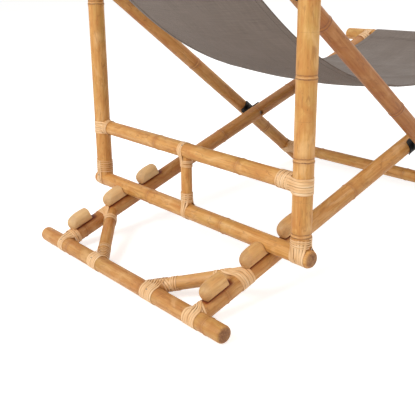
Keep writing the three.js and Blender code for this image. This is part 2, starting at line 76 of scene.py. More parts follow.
# %% [markdown]
# ## The camera
# The photograph was taken from behind the chair, on its right side and a little above it. A
# camera could be aimed with a Track To constraint, but the straight poles gave its place and
# its three directions exactly, so they are written straight into its matrix. The focal length
# in pixels becomes a lens in millimetres on Blender's 36 mm sensor.

# %% Camera
PHOTO_SIZE = 415
FOCAL_PIXELS = 707.87
SENSOR = 36.0

camera_data = bpy.data.cameras.new("photo_camera")
camera_data.sensor_width = SENSOR
camera_data.lens = SENSOR * FOCAL_PIXELS / PHOTO_SIZE
camera = bpy.data.objects.new("photo_camera", camera_data)
bpy.context.scene.collection.objects.link(camera)
bpy.context.scene.camera = camera
camera_right = Vector((-0.62672, -0.77518, -0.07948))
camera_down = Vector((-0.2383, 0.2877, -0.9276))
camera_forward = Vector((0.74192, -0.56240, -0.36504))
camera_place = Vector((-1078.37, 1080.54, 620.58)) * MM
turned = Matrix((camera_right, -camera_down, -camera_forward)).transposed()
camera.matrix_world = Matrix.Translation(camera_place) @ turned.to_4x4()
print("lens", round(camera_data.lens, 2), "mm")

# %% [markdown]
# ## Where the three frames lie
# The seat frame and the back frame are flat ladders that cross on one pair of bolts, and the prop
# frame hangs from the back frame. Each has its own directions in the side view: one along its
# rails, one square to them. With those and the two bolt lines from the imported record, a
# place on any pole is one call, and nothing has to be fitted by eye.

# %% Frame directions and places
SEAT_RISE = math.radians(15.87)
BACK_RISE = math.radians(43.38)
HINGE_TO_FLOOR_BAR = 601.0
SEAT_LENGTH = 1060.0
HINGE_TO_STRETCHER = 189.0
HINGE_TO_PIVOT = 508.7
HINGE_TO_HEAD_BAR = 843.7
PROP_UPPER_RISE = 124.4
FIRST_NOTCH = 89.0
RACK_PITCH = 96.0
REST_BLOCK = 1
RAIL_X, BACK_X, POST_X = 229.5, 272.9, 314.3
RADII = {
    "seat_rail": 16.6, "back_rail": 15.7, "prop_post": 17.2, "rear_floor_bar": 15.6,
    "front_bar": 15.6, "foot_stretcher": 14.0, "head_bar": 14.0, "prop_lower_bar": 15.4,
    "prop_upper_bar": 14.9, "prop_strut": 11.0, "corner_brace": 13.0,
}
SIDES = {"left": 1, "right": -1}
CLEARANCE = 0.3


class SideFrame:
    """A frame in the side view: a corner, the way its rails run and the way square to them."""

    def __init__(self, corner, rise):
        self.corner = Vector(corner)
        self.along = Vector((0, math.cos(rise), math.sin(rise)))
        self.square = Vector((0, -math.sin(rise), math.cos(rise)))

    def at(self, x, along, square=0.0):
        """A place on the frame, in millimetres across it, along its rails and square to it."""
        across = Vector((x, 0, 0))
        return self.corner + (across + self.along * along + self.square * square) * MM


seat = SideFrame(joints["seat_fold"]["pos_m"], -SEAT_RISE)
seat.corner = seat.at(0, HINGE_TO_FLOOR_BAR)
back = SideFrame(joints["seat_fold"]["pos_m"], BACK_RISE)
notch_seat = RADII["seat_rail"] + CLEARANCE + RADII["prop_lower_bar"]
prop_foot = seat.at(0, -(FIRST_NOTCH + REST_BLOCK * RACK_PITCH), notch_seat)
pivot = Vector(joints["prop_fold"]["pos_m"])
post_line = pivot - prop_foot
prop = SideFrame(prop_foot, math.atan2(post_line.z, post_line.y))
PROP_LENGTH = post_line.length / MM
print("prop posts", round(PROP_LENGTH, 1), "mm from the lower bar to the pivot")

# %% [markdown]
# ## Two small tools
# Every material and every geometry tree below is built node by node. They could be drawn by hand in
# the node editor, but a script says each setting and can be changed in one place. One function
# adds a node, sets its options and fills or links its inputs, which keeps each recipe short
# enough to read. Colours are written as they would be read off a screen and turned to linear
# light once.

# %% Node and colour tools
def add(tree, kind, inputs=None, stops=(), **options):
    """Adds a node, sets its options and its colour stops, and fills or links its inputs."""
    node = tree.nodes.new(kind)
    for option, value in options.items():
        setattr(node, option, value)
    for index, (position, hex_code) in enumerate(stops):
        if index >= len(node.color_ramp.elements):
            node.color_ramp.elements.new(position)
        node.color_ramp.elements[index].position = position
        node.color_ramp.elements[index].color = colour(hex_code)
    for key, value in (inputs or {}).items():
        if isinstance(value, bpy.types.NodeSocket):
            tree.links.new(value, node.inputs[key])
        else:
            node.inputs[key].default_value = value
    return node


def colour(hex_code):
    """Turns an sRGB hex code to linear light, by the standard curve."""
    channels = [int(hex_code[i:i + 2], 16) / 255 for i in (1, 3, 5)]
    linear = [c / 12.92 if c <= 0.04045 else ((c + 0.055) / 1.055) ** 2.4 for c in channels]
    return (*linear, 1.0)


def new_material(name):
    """Starts an empty material, and returns it with its tree."""
    material = bpy.data.materials.new(name)
    material.use_nodes = True
    material.node_tree.nodes.clear()
    return material, material.node_tree


def smooth_by_angle(mesh, degrees=35):
    """Shades a mesh smooth and keeps the edges that turn by more than the angle sharp."""
    mesh.shade_smooth()
    mesh.set_sharp_from_angle(angle=math.radians(degrees))


def link_mesh(name, mesh):
    """Puts a mesh in the scene as an object."""
    piece = bpy.data.objects.new(name, mesh)
    bpy.context.scene.collection.objects.link(piece)
    return piece


print("white in linear light:", colour("#FFFFFF"))

# %% [markdown]
# ## Solid bamboo, varnished
# Solid bamboo is a grass: long straight fibres under a hard smooth skin, honey coloured once it is
# dried and varnished, with scorched patches, and a raised ring with two thin scars at each node.
# An image could carry all this, but a recipe that reads the pole's own directions follows
# every pole, however it leans. Each vertex stores where it is in its pole (grain), how far the
# nearest node is (ring), how clear its scars are (scar), whether it is cut (cut) and how dark its
# pole is, with painted shade where the blocks meet the rails (tone). The fibres are about 0.4 mm
# wide, too fine to show here, so they are drawn 1.3 mm.

# %% Grain of the bamboo
bamboo, tree = new_material("varnished_bamboo")
grain = add(tree, "ShaderNodeAttribute", attribute_name="grain").outputs["Vector"]
ring, scar_share, cut, tone = [
    add(tree, "ShaderNodeAttribute", attribute_name=name).outputs["Fac"]
    for name in ("ring", "scar", "cut", "tone")]


def along_grain(width, length, detail, distortion=0.0):
    """Noise that is width millimetres across the fibres and length millimetres along them."""
    spread = (1 / (width * MM), 1 / (width * MM), 1 / (length * MM))
    scaled = add(tree, "ShaderNodeVectorMath", {0: grain, 1: spread}, operation="MULTIPLY").outputs[0]
    return add(tree, "ShaderNodeTexNoise", {
        "Vector": scaled, "Scale": 1.0, "Detail": detail, "Distortion": distortion}).outputs["Fac"]


def stained(tree, base, pattern, low, high, strength, hex_code):
    """Lays a stain on a colour: none where the pattern is at low, its full strength at high."""
    share = add(tree, "ShaderNodeMapRange", {
        "Value": pattern, "From Min": low, "From Max": high, "To Max": strength}).outputs[0]
    mix = add(tree, "ShaderNodeMix", {0: share, 6: base, 7: colour(hex_code)}, data_type="RGBA")
    return mix.outputs[2]


fibre = along_grain(1.3, 60.0, 3.0)
streak = along_grain(5.0, 150.0, 3.0, 0.4)
patch = along_grain(20.0, 48.0, 4.0, 0.8)
scorch = along_grain(8.0, 22.0, 4.0, 1.2)
tint = along_grain(40.0, 140.0, 2.0)
speck = along_grain(1.5, 7.0, 2.0)
crack = along_grain(0.9, 34.0, 1.0, 0.3)

honey = add(tree, "ShaderNodeValToRGB", {"Fac": streak}, stops=(
    (0.30, "#C78943"), (0.45, "#D1954C"), (0.60, "#D9A057"), (0.74, "#E2B06C"))).outputs[0]
fine = add(tree, "ShaderNodeValToRGB", {"Fac": fibre}, stops=(
    (0.25, "#9C6632"), (0.55, "#FFFFFF"))).outputs[0]
honey = add(tree, "ShaderNodeMix", {0: 0.22, 6: honey, 7: fine}, data_type="RGBA",
            blend_type="MULTIPLY").outputs[2]
# Greenish tint, amber patches, pale patches, scorch marks, fine cracks and specks
for pattern, low, high, strength, hex_code in (
        (tint, 0.50, 0.70, 0.32, "#C0A152"), (patch, 0.50, 0.68, 0.66, "#BE7731"),
        (patch, 0.46, 0.30, 0.45, "#EFC388"), (scorch, 0.55, 0.70, 0.50, "#9C602A"),
        (crack, 0.68, 0.76, 0.32, "#8A5526"), (speck, 0.68, 0.75, 0.50, "#764A24")):
    honey = stained(tree, honey, pattern, low, high, strength, hex_code)
print("bamboo skin:", len(tree.nodes), "nodes")

# %% [markdown]
# ## Node scars and cut ends
# The node of a pole has two thin dark scars about 6 mm apart, with a paler ridge between them, and
# the skin is darker for about a centimetre round them. The scars wander a little up and down, and
# fade in places round the pole, as the photograph shows. Four soft lines at set distances from the
# node are enough, because each pole already stores that distance.

# %% Node scars and cut ends
SOFT_BAND = 5.0
wander = add(tree, "ShaderNodeMath", {0: patch, 1: 0.5}, operation="SUBTRACT").outputs[0]
wavy = add(tree, "ShaderNodeMath", {0: wander, 1: 2.6, 2: ring}, operation="MULTIPLY_ADD").outputs[0]
uneven = add(tree, "ShaderNodeMapRange", {
    "Value": streak, "From Min": 0.35, "From Max": 0.6, "To Min": 0.5}).outputs[0]
crisp = add(tree, "ShaderNodeMath", {0: uneven, 1: scar_share}, operation="MULTIPLY").outputs[0]
for place, inner, outer, strength, hex_code in (
        (4.0, 1.0, 11.0, 0.55, "#B0702F"), (2.5, 0.3, 2.2, 0.50, "#E6B577"),
        (5.8, 0.2, 1.5, 0.80, "#7A4A26"), (0.0, 0.3, 1.6, 0.90, "#6A4020")):
    away = add(tree, "ShaderNodeMath", {0: wavy, 1: place}, operation="SUBTRACT").outputs[0]
    away = add(tree, "ShaderNodeMath", {0: away}, operation="ABSOLUTE").outputs[0]
    line = add(tree, "ShaderNodeMapRange", {
        "Value": away, "From Min": inner, "From Max": outer, "To Min": strength, "To Max": 0.0}).outputs[0]
    clear = uneven if outer > SOFT_BAND else crisp
    line = add(tree, "ShaderNodeMath", {0: line, 1: clear}, operation="MULTIPLY").outputs[0]
    honey = add(tree, "ShaderNodeMix", {0: line, 6: honey, 7: colour(hex_code)}, data_type="RGBA").outputs[2]

# A cut end shows the ends of the vessels as small dots, drawn 1.8 mm apart, in a browner ground
VESSEL_PITCH = 1.8
VESSEL_LENGTH = 6.0
vessel_spread = (1 / (VESSEL_PITCH * MM), 1 / (VESSEL_PITCH * MM), 1 / (VESSEL_LENGTH * MM))
dots = add(tree, "ShaderNodeVectorMath", {0: grain, 1: vessel_spread}, operation="MULTIPLY").outputs[0]
vessels = add(tree, "ShaderNodeTexVoronoi", {"Vector": dots, "Scale": 1.0}).outputs["Distance"]
end_grain = add(tree, "ShaderNodeValToRGB", {"Fac": vessels}, stops=(
    (0.10, "#60391E"), (0.40, "#8E5F36"), (0.80, "#A67748"))).outputs[0]
end_tint = add(tree, "ShaderNodeValToRGB", {"Fac": scorch}, stops=(
    (0.36, "#AC8050"), (0.50, "#946541"), (0.64, "#6C4128"))).outputs[0]
end_face = add(tree, "ShaderNodeMix", {0: 0.6, 6: end_grain, 7: end_tint}, data_type="RGBA").outputs[2]
surface = add(tree, "ShaderNodeMix", {0: cut, 6: honey, 7: end_face}, data_type="RGBA").outputs[2]

# The tone of a pole browns its skin from 0 to 1, darkens it further past 1 and bleaches it below 0. Near the
# blocks the tone rises, past 1 on the rails, and that darkening is painted shade.
painted_shade_past_one = add(tree, "ShaderNodeMath", {0: tone, 1: 1.0}, operation="SUBTRACT", use_clamp=True).outputs[0]
paleness = add(tree, "ShaderNodeMath", {0: tone, 1: -1.0}, operation="MULTIPLY", use_clamp=True).outputs[0]
for share, hex_code, blend in (
        (tone, "#A9733C", "MULTIPLY"), (painted_shade_past_one, "#5E3E1C", "MULTIPLY"), (paleness, "#E8C795", "MIX")):
    surface = add(tree, "ShaderNodeMix", {0: share, 6: surface, 7: colour(hex_code)}, data_type="RGBA",
                  blend_type=blend).outputs[2]

gloss = add(tree, "ShaderNodeMapRange", {
    "Value": streak, "From Min": 0.3, "From Max": 0.7, "To Min": 0.62, "To Max": 0.46}).outputs[0]
gloss = add(tree, "ShaderNodeMath", {0: cut, 1: 0.2, 2: gloss}, operation="MULTIPLY_ADD").outputs[0]
relief = add(tree, "ShaderNodeMath", {0: vessels, 1: cut, 2: fibre}, operation="MULTIPLY_ADD").outputs[0]
relief = add(tree, "ShaderNodeMath", {0: patch, 1: 1.5, 2: relief}, operation="MULTIPLY_ADD").outputs[0]
bump = add(tree, "ShaderNodeBump", {"Height": relief, "Strength": 0.3, "Distance": 0.4 * MM})
skin = add(tree, "ShaderNodeBsdfPrincipled", {
    "Base Color": surface, "Roughness": gloss, "IOR": 1.5, "Coat Weight": 0.06,
    "Coat Roughness": 0.3, "Normal": bump.outputs[0]})
add(tree, "ShaderNodeOutputMaterial", {"Surface": skin.outputs[0]})
print("varnished bamboo:", len(tree.nodes), "nodes")

# %% [markdown]
# ## Split cane
# The joints are bound with cane: a climbing palm whose skin is split into flat strips about
# 4.5 mm wide. A strip is paler than the poles, smooth on its face and darker along its two cut
# edges, which is what draws each turn. A flat wood texture would run across the strips where
# they bend. The sweep that lays the strips stores how far along and across each point lies
# instead, so the fibres run the length of a strip wherever it turns.

# %% Split cane
cane, tree = new_material("split_cane")
along, across, slim = [add(tree, "ShaderNodeAttribute", attribute_name=name).outputs["Fac"]
                       for name in ("strip_along", "strip_across", "slim")]
place = add(tree, "ShaderNodeCombineXYZ", {"X": along, "Y": across}).outputs[0]
# Along a strip a fibre is 25 mm long and a change of shade 38 mm, so 40 and 26 of them make a metre
patterns = []
for per_metre, per_half_width in ((40.0, 3.5), (26.0, 0.4)):
    scaled = add(tree, "ShaderNodeVectorMath", {
        0: place, 1: (per_metre, per_half_width, 1.0)}, operation="MULTIPLY").outputs[0]
    patterns.append(add(tree, "ShaderNodeTexNoise", {"Vector": scaled, "Scale": 1.0, "Detail": 3.0}))
fibres, shade = [pattern.outputs["Fac"] for pattern in patterns]
straw = add(tree, "ShaderNodeValToRGB", {"Fac": shade}, stops=(
    (0.28, "#DAA066"), (0.42, "#EBBB82"), (0.58, "#F5CD9B"), (0.72, "#FBDFB6"))).outputs[0]
fine = add(tree, "ShaderNodeValToRGB", {"Fac": fibres}, stops=(
    (0.3, "#BE8C56"), (0.6, "#FFFFFF"))).outputs[0]
straw = add(tree, "ShaderNodeMix", {0: 0.30, 6: straw, 7: fine}, data_type="RGBA",
            blend_type="MULTIPLY").outputs[2]
edge = add(tree, "ShaderNodeMath", {0: across}, operation="ABSOLUTE").outputs[0]
edge = add(tree, "ShaderNodeMapRange", {"Value": edge, "From Min": 0.72, "From Max": 1.0}).outputs[0]
# Strands that lie apart on a pole cast a shade into their gaps, so their edges are painted darker
apart = add(tree, "ShaderNodeMapRange", {
    "Value": slim, "From Min": 1.0, "From Max": 0.7, "To Min": 0.50, "To Max": 0.95}).outputs[0]
line = add(tree, "ShaderNodeMath", {0: edge, 1: apart}, operation="MULTIPLY").outputs[0]
straw = add(tree, "ShaderNodeMix", {0: line, 6: straw, 7: colour("#8C5A2E")}, data_type="RGBA").outputs[2]
bump = add(tree, "ShaderNodeBump", {"Height": fibres, "Strength": 0.3, "Distance": 0.3 * MM})
strip_skin = add(tree, "ShaderNodeBsdfPrincipled", {
    "Base Color": straw, "Roughness": 0.5, "IOR": 1.5, "Normal": bump.outputs[0]})
add(tree, "ShaderNodeOutputMaterial", {"Surface": strip_skin.outputs[0]})
print("split cane:", len(tree.nodes), "nodes")

# %% [markdown]
# ## Canvas and thread
# The sling is a dense plain-woven canvas, matt and grey-brown, with thicker threads here and there.
# Its threads are about 0.8 mm apart, which is too fine to show here, so they are drawn 1.6 mm
# apart. An image of cloth would need a licence and would repeat, so two crossed sine waves make
# the weave. They read the cloth's own flat map, so the threads bend with the cloth. The seams are
# sewn with a slightly darker spun thread.

# %% Woven canvas
THREAD_PITCH = 1.6
canvas, tree = new_material("woven_canvas")
cloth_place = add(tree, "ShaderNodeUVMap", uv_map="cloth").outputs["UV"]
turns = math.pi / (THREAD_PITCH * MM)
waves = add(tree, "ShaderNodeVectorMath", {
    0: cloth_place, 1: (turns, turns, 1.0)}, operation="MULTIPLY").outputs[0]
waves = add(tree, "ShaderNodeVectorMath", {0: waves}, operation="SINE").outputs[0]
waves = add(tree, "ShaderNodeSeparateXYZ", {0: waves}).outputs
weave = add(tree, "ShaderNodeMath", {0: waves["X"], 1: waves["Y"]}, operation="MULTIPLY").outputs[0]
# A thicker thread is as wide as one thread and about 60 mm long, in the warp and in the weft
THICK_WIDTH, THICK_LENGTH = 1 / (THREAD_PITCH * MM), 1 / (60 * MM)
slubs = []
for spread in ((THICK_WIDTH, THICK_LENGTH, 1.0), (THICK_LENGTH, THICK_WIDTH, 1.0)):
    scaled = add(tree, "ShaderNodeVectorMath", {0: cloth_place, 1: spread}, operation="MULTIPLY").outputs[0]
    noise = add(tree, "ShaderNodeTexNoise", {"Vector": scaled, "Scale": 1.0, "Detail": 2.0})
    slubs.append(noise.outputs["Fac"])
slub = add(tree, "ShaderNodeMath", {0: slubs[0], 1: slubs[1]}, operation="ADD").outputs[0]
slub = add(tree, "ShaderNodeMath", {0: slub, 1: 0.5}, operation="MULTIPLY").outputs[0]
worn = add(tree, "ShaderNodeTexNoise", {
    "Vector": cloth_place, "Scale": 1 / (90 * MM), "Detail": 3.0}).outputs["Fac"]
taupe = add(tree, "ShaderNodeValToRGB", {"Fac": slub}, stops=(
    (0.34, "#6B5D54"), (0.50, "#7A6C62"), (0.66, "#897B70"))).outputs[0]
taupe = stained(tree, taupe, worn, 0.45, 0.7, 0.22, "#93867C")
taupe = stained(tree, taupe, weave, 1.0, -1.0, 0.28, "#4A4037")
bump = add(tree, "ShaderNodeBump", {"Height": weave, "Strength": 0.5, "Distance": 0.35 * MM})
cloth = add(tree, "ShaderNodeBsdfPrincipled", {
    "Base Color": taupe, "Roughness": 0.92, "IOR": 1.45, "Sheen Weight": 0.15,
    "Sheen Roughness": 0.5, "Normal": bump.outputs[0]})
add(tree, "ShaderNodeOutputMaterial", {"Surface": cloth.outputs[0]})

thread, tree = new_material("spun_polyester_thread")
where = add(tree, "ShaderNodeTexCoord").outputs["Object"]
twist = add(tree, "ShaderNodeTexNoise", {
    "Vector": where, "Scale": 1 / (0.8 * MM), "Detail": 1.0}).outputs["Fac"]
spun = add(tree, "ShaderNodeValToRGB", {"Fac": twist}, stops=(
    (0.35, "#5B5048"), (0.65, "#75695E"))).outputs[0]
bead_skin = add(tree, "ShaderNodeBsdfPrincipled", {"Base Color": spun, "Roughness": 0.8, "IOR": 1.5})
add(tree, "ShaderNodeOutputMaterial", {"Surface": bead_skin.outputs[0]})
print("threads drawn", THREAD_PITCH, "mm apart")

# %% [markdown]
# ## Moulded nylon and zinc-plated steel
# The saddles at the bolts are moulded in black nylon, which shows the faint grain of a spark-eroded
# mould and a soft, slightly uneven gloss. The bolts, nuts and pins are steel with a dull zinc
# plating: a metal whose brightness and roughness drift in cloudy patches. One flat colour would
# do at this distance, but close by it would look like paint, so each has a little noise.

# %% Plastic and metal
moulded, tree = new_material("moulded_black_nylon")
where = add(tree, "ShaderNodeTexCoord").outputs["Object"]
grit, dull = [
    add(tree, "ShaderNodeTexNoise", {"Vector": where, "Scale": 1 / (size * MM), "Detail": 2.0}).outputs["Fac"]
    for size in (0.7, 14)]
black = add(tree, "ShaderNodeValToRGB", {"Fac": dull}, stops=(
    (0.35, "#0C0A09"), (0.65, "#171412"))).outputs[0]
gloss = add(tree, "ShaderNodeMapRange", {
    "Value": dull, "From Min": 0.3, "From Max": 0.7, "To Min": 0.50, "To Max": 0.65}).outputs[0]
bump = add(tree, "ShaderNodeBump", {"Height": grit, "Strength": 0.3, "Distance": 0.1 * MM})
nylon = add(tree, "ShaderNodeBsdfPrincipled", {
    "Base Color": black, "Roughness": gloss, "IOR": 1.53, "Specular IOR Level": 0.25,
    "Normal": bump.outputs[0]})
add(tree, "ShaderNodeOutputMaterial", {"Surface": nylon.outputs[0]})

zinc, tree = new_material("zinc_plated_steel")
where = add(tree, "ShaderNodeTexCoord").outputs["Object"]
cloud = add(tree, "ShaderNodeTexNoise", {
    "Vector": where, "Scale": 1 / (3 * MM), "Detail": 3.0}).outputs["Fac"]
plate = add(tree, "ShaderNodeValToRGB", {"Fac": cloud}, stops=(
    (0.35, "#5A5752"), (0.65, "#7C7973"))).outputs[0]
gloss = add(tree, "ShaderNodeMapRange", {
    "Value": cloud, "From Min": 0.3, "From Max": 0.7, "To Min": 0.30, "To Max": 0.48}).outputs[0]
metal = add(tree, "ShaderNodeBsdfPrincipled", {"Base Color": plate, "Metallic": 1.0, "Roughness": gloss})
add(tree, "ShaderNodeOutputMaterial", {"Surface": metal.outputs[0]})
print("materials:", len(bpy.data.materials))

# %% [markdown]
# ## Poles grown along a line
# A bamboo pole follows a simple rule: a round section that runs along a line, swells a little at
# each node, has a narrow groove beside the swelling and is rounded at a free end. That is a job
# for Geometry Nodes: the mesh holds only the stations along the line, each with its distance to
# the nearest node and to the nearest rounded tip, and the tree turns them into the pole. The
# swelling is about 1 mm on a pole 32 mm thick.

# %% The pole tree
def new_tree(name, inputs):
    """Starts a geometry tree with named inputs, and returns it with what comes in."""
    tree = bpy.data.node_groups.new(name, "GeometryNodeTree")
    tree.interface.new_socket("Geometry", in_out="INPUT", socket_type="NodeSocketGeometry")
    for label, (kind, value) in inputs.items():
        socket = tree.interface.new_socket(label, in_out="INPUT", socket_type=f"NodeSocket{kind}")
        socket.default_value = value
    tree.interface.new_socket("Geometry", in_out="OUTPUT", socket_type="NodeSocketGeometry")
    return tree, add(tree, "NodeGroupInput").outputs


def end_tree(tree, geometry, material):
    """Ends a tree: smooth shading, instances made real and the material set."""
    smooth = add(tree, "GeometryNodeSetShadeSmooth", {"Geometry": geometry})
    whole = add(tree, "GeometryNodeRealizeInstances", {"Geometry": smooth.outputs[0]})
    dressed = add(tree, "GeometryNodeSetMaterial", {"Geometry": whole.outputs[0], "Material": material})
    add(tree, "NodeGroupOutput", {"Geometry": dressed.outputs[0]})


def grow(name, mesh, tree, values):
    """Runs a tree on a mesh with the given inputs, and returns the result as a plain mesh object."""
    piece = link_mesh(name, mesh)
    modifier = piece.modifiers.new(tree.name, "NODES")
    modifier.node_group = tree
    for item in tree.interface.items_tree:
        if item.in_out == "INPUT" and item.name in values:
            modifier[item.identifier] = values[item.name]
    return bake(piece)


def bake(piece):
    """Turns an object with its modifiers into a plain mesh object."""
    graph = bpy.context.evaluated_depsgraph_get()
    mesh = bpy.data.meshes.new_from_object(piece.evaluated_get(graph))
    mesh.name = piece.name
    piece.modifiers.clear()
    piece.data = mesh
    return piece


POLE_SIDES = 40
TIP_ROUND = 8.0
TIP_POWER = 2.6
pole_tree, given = new_tree("bamboo_pole", {
    "Radius": ("Float", 0.016), "Node height": ("Float", 0.0009), "Node width": ("Float", 0.0028),
    "Groove depth": ("Float", 0.0006), "Groove width": ("Float", 0.0011),
    "Tip round": ("Float", TIP_ROUND * MM), "Waviness": ("Float", 0.00018),
    "Sides": ("Int", POLE_SIDES), "Seed": ("Float", 0.0), "Material": ("Material", bamboo),
})
to_ring = add(pole_tree, "GeometryNodeInputNamedAttribute", {"Name": "ring_gap"}).outputs[0]
to_tip = add(pole_tree, "GeometryNodeInputNamedAttribute", {"Name": "tip_gap"}).outputs[0]


def bell(tree, distance, width, height):
    """A bell curve over a distance, with its half width and its height."""
    share = add(tree, "ShaderNodeMath", {0: distance, 1: width}, operation="DIVIDE").outputs[0]
    square = add(tree, "ShaderNodeMath", {0: share, 1: share}, operation="MULTIPLY").outputs[0]
    fall = add(tree, "ShaderNodeMath", {0: square, 1: -1.0}, operation="MULTIPLY").outputs[0]
    rise = add(tree, "ShaderNodeMath", {0: fall}, operation="EXPONENT").outputs[0]
    return add(tree, "ShaderNodeMath", {0: rise, 1: height}, operation="MULTIPLY").outputs[0]


ridge = bell(pole_tree, to_ring, given["Node width"], given["Node height"])
beside = add(pole_tree, "ShaderNodeMath", {
    0: to_ring, 1: given["Node width"]}, operation="SUBTRACT").outputs[0]
groove = bell(pole_tree, beside, given["Groove width"], given["Groove depth"])
swell = add(pole_tree, "ShaderNodeMath", {0: ridge, 1: groove}, operation="SUBTRACT").outputs[0]
spot = add(pole_tree, "GeometryNodeSplineParameter").outputs["Length"]
spot = add(pole_tree, "ShaderNodeCombineXYZ", {"X": spot}).outputs[0]
unsteady = add(pole_tree, "ShaderNodeTexNoise", {
    "Vector": spot, "W": given["Seed"], "Scale": 18.0, "Detail": 1.0}, noise_dimensions="4D").outputs["Fac"]
unsteady = add(pole_tree, "ShaderNodeMath", {0: unsteady, 1: 0.5}, operation="SUBTRACT").outputs[0]
waves = add(pole_tree, "ShaderNodeMath", {
    0: unsteady, 1: given["Waviness"]}, operation="MULTIPLY").outputs[0]
swell = add(pole_tree, "ShaderNodeMath", {0: waves, 1: 2.0, 2: swell}, operation="MULTIPLY_ADD").outputs[0]
girth = add(pole_tree, "ShaderNodeMath", {0: given["Radius"], 1: swell}, operation="ADD").outputs[0]
inward = add(pole_tree, "ShaderNodeMath", {0: to_tip, 1: given["Tip round"]}, operation="DIVIDE",
             use_clamp=True).outputs[0]

# Close to a rounded tip the girth falls along a full curve, and a hair of it is left at the very end
outward = add(pole_tree, "ShaderNodeMath", {0: 1.0, 1: inward}, operation="SUBTRACT").outputs[0]
dome = add(pole_tree, "ShaderNodeMath", {0: outward, 1: TIP_POWER}, operation="POWER").outputs[0]
dome = add(pole_tree, "ShaderNodeMath", {0: 1.0005, 1: dome}, operation="SUBTRACT").outputs[0]
dome = add(pole_tree, "ShaderNodeMath", {0: dome}, operation="SQRT").outputs[0]
girth = add(pole_tree, "ShaderNodeMath", {0: girth, 1: dome}, operation="MULTIPLY").outputs[0]
line = add(pole_tree, "GeometryNodeMeshToCurve", {"Mesh": given["Geometry"]}).outputs[0]
section = add(pole_tree, "GeometryNodeCurvePrimitiveCircle", {"Resolution": given["Sides"], "Radius": 1.0})
swept = add(pole_tree, "GeometryNodeCurveToMesh", {
    "Curve": line, "Profile Curve": section.outputs[0], "Scale": girth, "Fill Caps": True})
end_tree(pole_tree, swept.outputs[0], given["Material"])
print("pole tree:", len(pole_tree.nodes), "nodes")

# %% [markdown]
# ## Ends of the poles
# A free end of a pole is rounded. An end that meets another pole is coped, which means hollowed to
# sit round it, and the feet of the back frame are cut level with the floor. A cope could be cut
# with a Boolean, but sliding the last points of the pole back onto the round of the other one
# keeps its long straight faces, so its grain stays even.

# %% Stations along a pole
STATION_STEP = 4.0
LEAST_STEP = 0.12
RING_STEP = 0.8
RING_REACH = 8.0
EDGE_GAP = 0.35


def stations(length, rings, ends):
    """Places along a pole, closer together at its nodes and its tips."""
    places = list(np.arange(0, length, STATION_STEP))
    for ring_place in rings:
        places += list(np.arange(ring_place - RING_REACH, ring_place + RING_REACH, RING_STEP))
    for finish_kind, tip, way in ((ends[0], 0.0, 1), (ends[1], length, -1)):
        places += [tip, tip + way * EDGE_GAP]
        if finish_kind == "round":
            turns = np.linspace(0, math.pi / 2, 10)
            places += [tip + way * TIP_ROUND * (1 - math.cos(turn)) for turn in turns]
    kept = [0.0]
    for spot in sorted(p for p in places if 0 < p < length):
        if spot - kept[-1] > LEAST_STEP:
            kept.append(spot)
    return np.array(kept + [length])


print("stations on a metre of pole:", len(stations(1000.0, (300.0, 700.0), ("round", "cope"))))

# %% Coped ends and level feet
COPE_SPAN = 26.0


def ease(value, low, high):
    """0 below low, 1 above high and a smooth rise between them."""
    share = np.clip((value - low) / (high - low), 0, 1)
    return share * share * (3 - 2 * share)


def cope(points, along, origin, axis, through_point, through_line, through_radius, from_start, length):
    """Slides the end of a pole back so that it stops on the round of the pole that it meets."""
    reach = along if from_start else length - along
    close = reach < COPE_SPAN * MM
    way = axis if from_start else -axis
    tip = origin if from_start else origin + axis * length
    radial = points - (origin + along[:, None] * axis)
    start = radial + tip - through_point
    flat_way = way - through_line * (way @ through_line)
    flat_start = start - (start @ through_line)[:, None] * through_line
    a = flat_way @ flat_way
    b = flat_start @ flat_way
    c = (flat_start * flat_start).sum(1) - ((through_radius + CLEARANCE) * MM) ** 2
    limit = (-b + np.sqrt(np.maximum(b * b - a * c, 0))) / a
    squeezed = limit + reach * (COPE_SPAN * MM - limit) / (COPE_SPAN * MM)
    shift = np.where(close, squeezed - reach, 0)
    return points + shift[:, None] * way


def level_cut(mesh):
    """Cuts a mesh off at the floor and closes it."""
    work = bmesh.new()
    work.from_mesh(mesh)
    everything = work.verts[:] + work.edges[:] + work.faces[:]
    cut_away = bmesh.ops.bisect_plane(work, geom=everything, plane_co=(0, 0, 0), plane_no=(0, 0, 1),
                                      clear_inner=True)
    rim = [edge for edge in cut_away["geom_cut"] if isinstance(edge, bmesh.types.BMEdge)]
    bmesh.ops.contextual_create(work, geom=rim)
    work.to_mesh(mesh)
    work.free()


# %% [markdown]
# ## What the bamboo finish reads
# The finish needs to know where a point lies in its own pole: how far along, how far from the
# nearest node, and whether it is on a cut face. A texture map could carry that, but it would have
# to be unwrapped for each pole. Each vertex stores these values as attributes, worked out from its
# place. Where a block sits on a rail, the tone is darker in the corner, and that is painted shade.

# %% Values stored on the vertices
FAR = 900.0
GRAIN_STEP = 3.7
BLOCK_RADIUS = 15.6
BLOCK_LENGTH = 60.0
BLOCK_SEAT = 3.0
BLOCK_HEIGHT = RADII["seat_rail"] + BLOCK_RADIUS - BLOCK_SEAT
# Painted shade in the corner where a block sits on a rail: its tone, the gap over which it fades, and how it
# fades at the heel and the mouth
CREVICE_PAINTED_SHADE = 1.45
CREVICE_PAINTED_SHADE_REACH = (0.3, 5.0)
HEEL_FADE = 7.0
MOUTH_FADE = (4.0, 2.0)


def point_values(mesh, name, kind, values):
    """Stores one value for each vertex of a mesh under a name."""
    attribute = mesh.attributes.get(name) or mesh.attributes.new(name, kind, "POINT")
    field = "vector" if kind == "FLOAT_VECTOR" else "value"
    attribute.data.foreach_set(field, np.asarray(values, np.float32).ravel())


def corners_of(mesh):
    """The places of all the vertices of a mesh, one in a row."""
    places = np.zeros(len(mesh.vertices) * 3)
    mesh.vertices.foreach_get("co", places)
    return places.reshape(-1, 3)


def side_axes(axis):
    """Two directions square to an axis and to each other."""
    first = np.cross(axis, (0.31, 0.87, 0.38))
    first /= np.linalg.norm(first)
    return first, np.cross(axis, first)


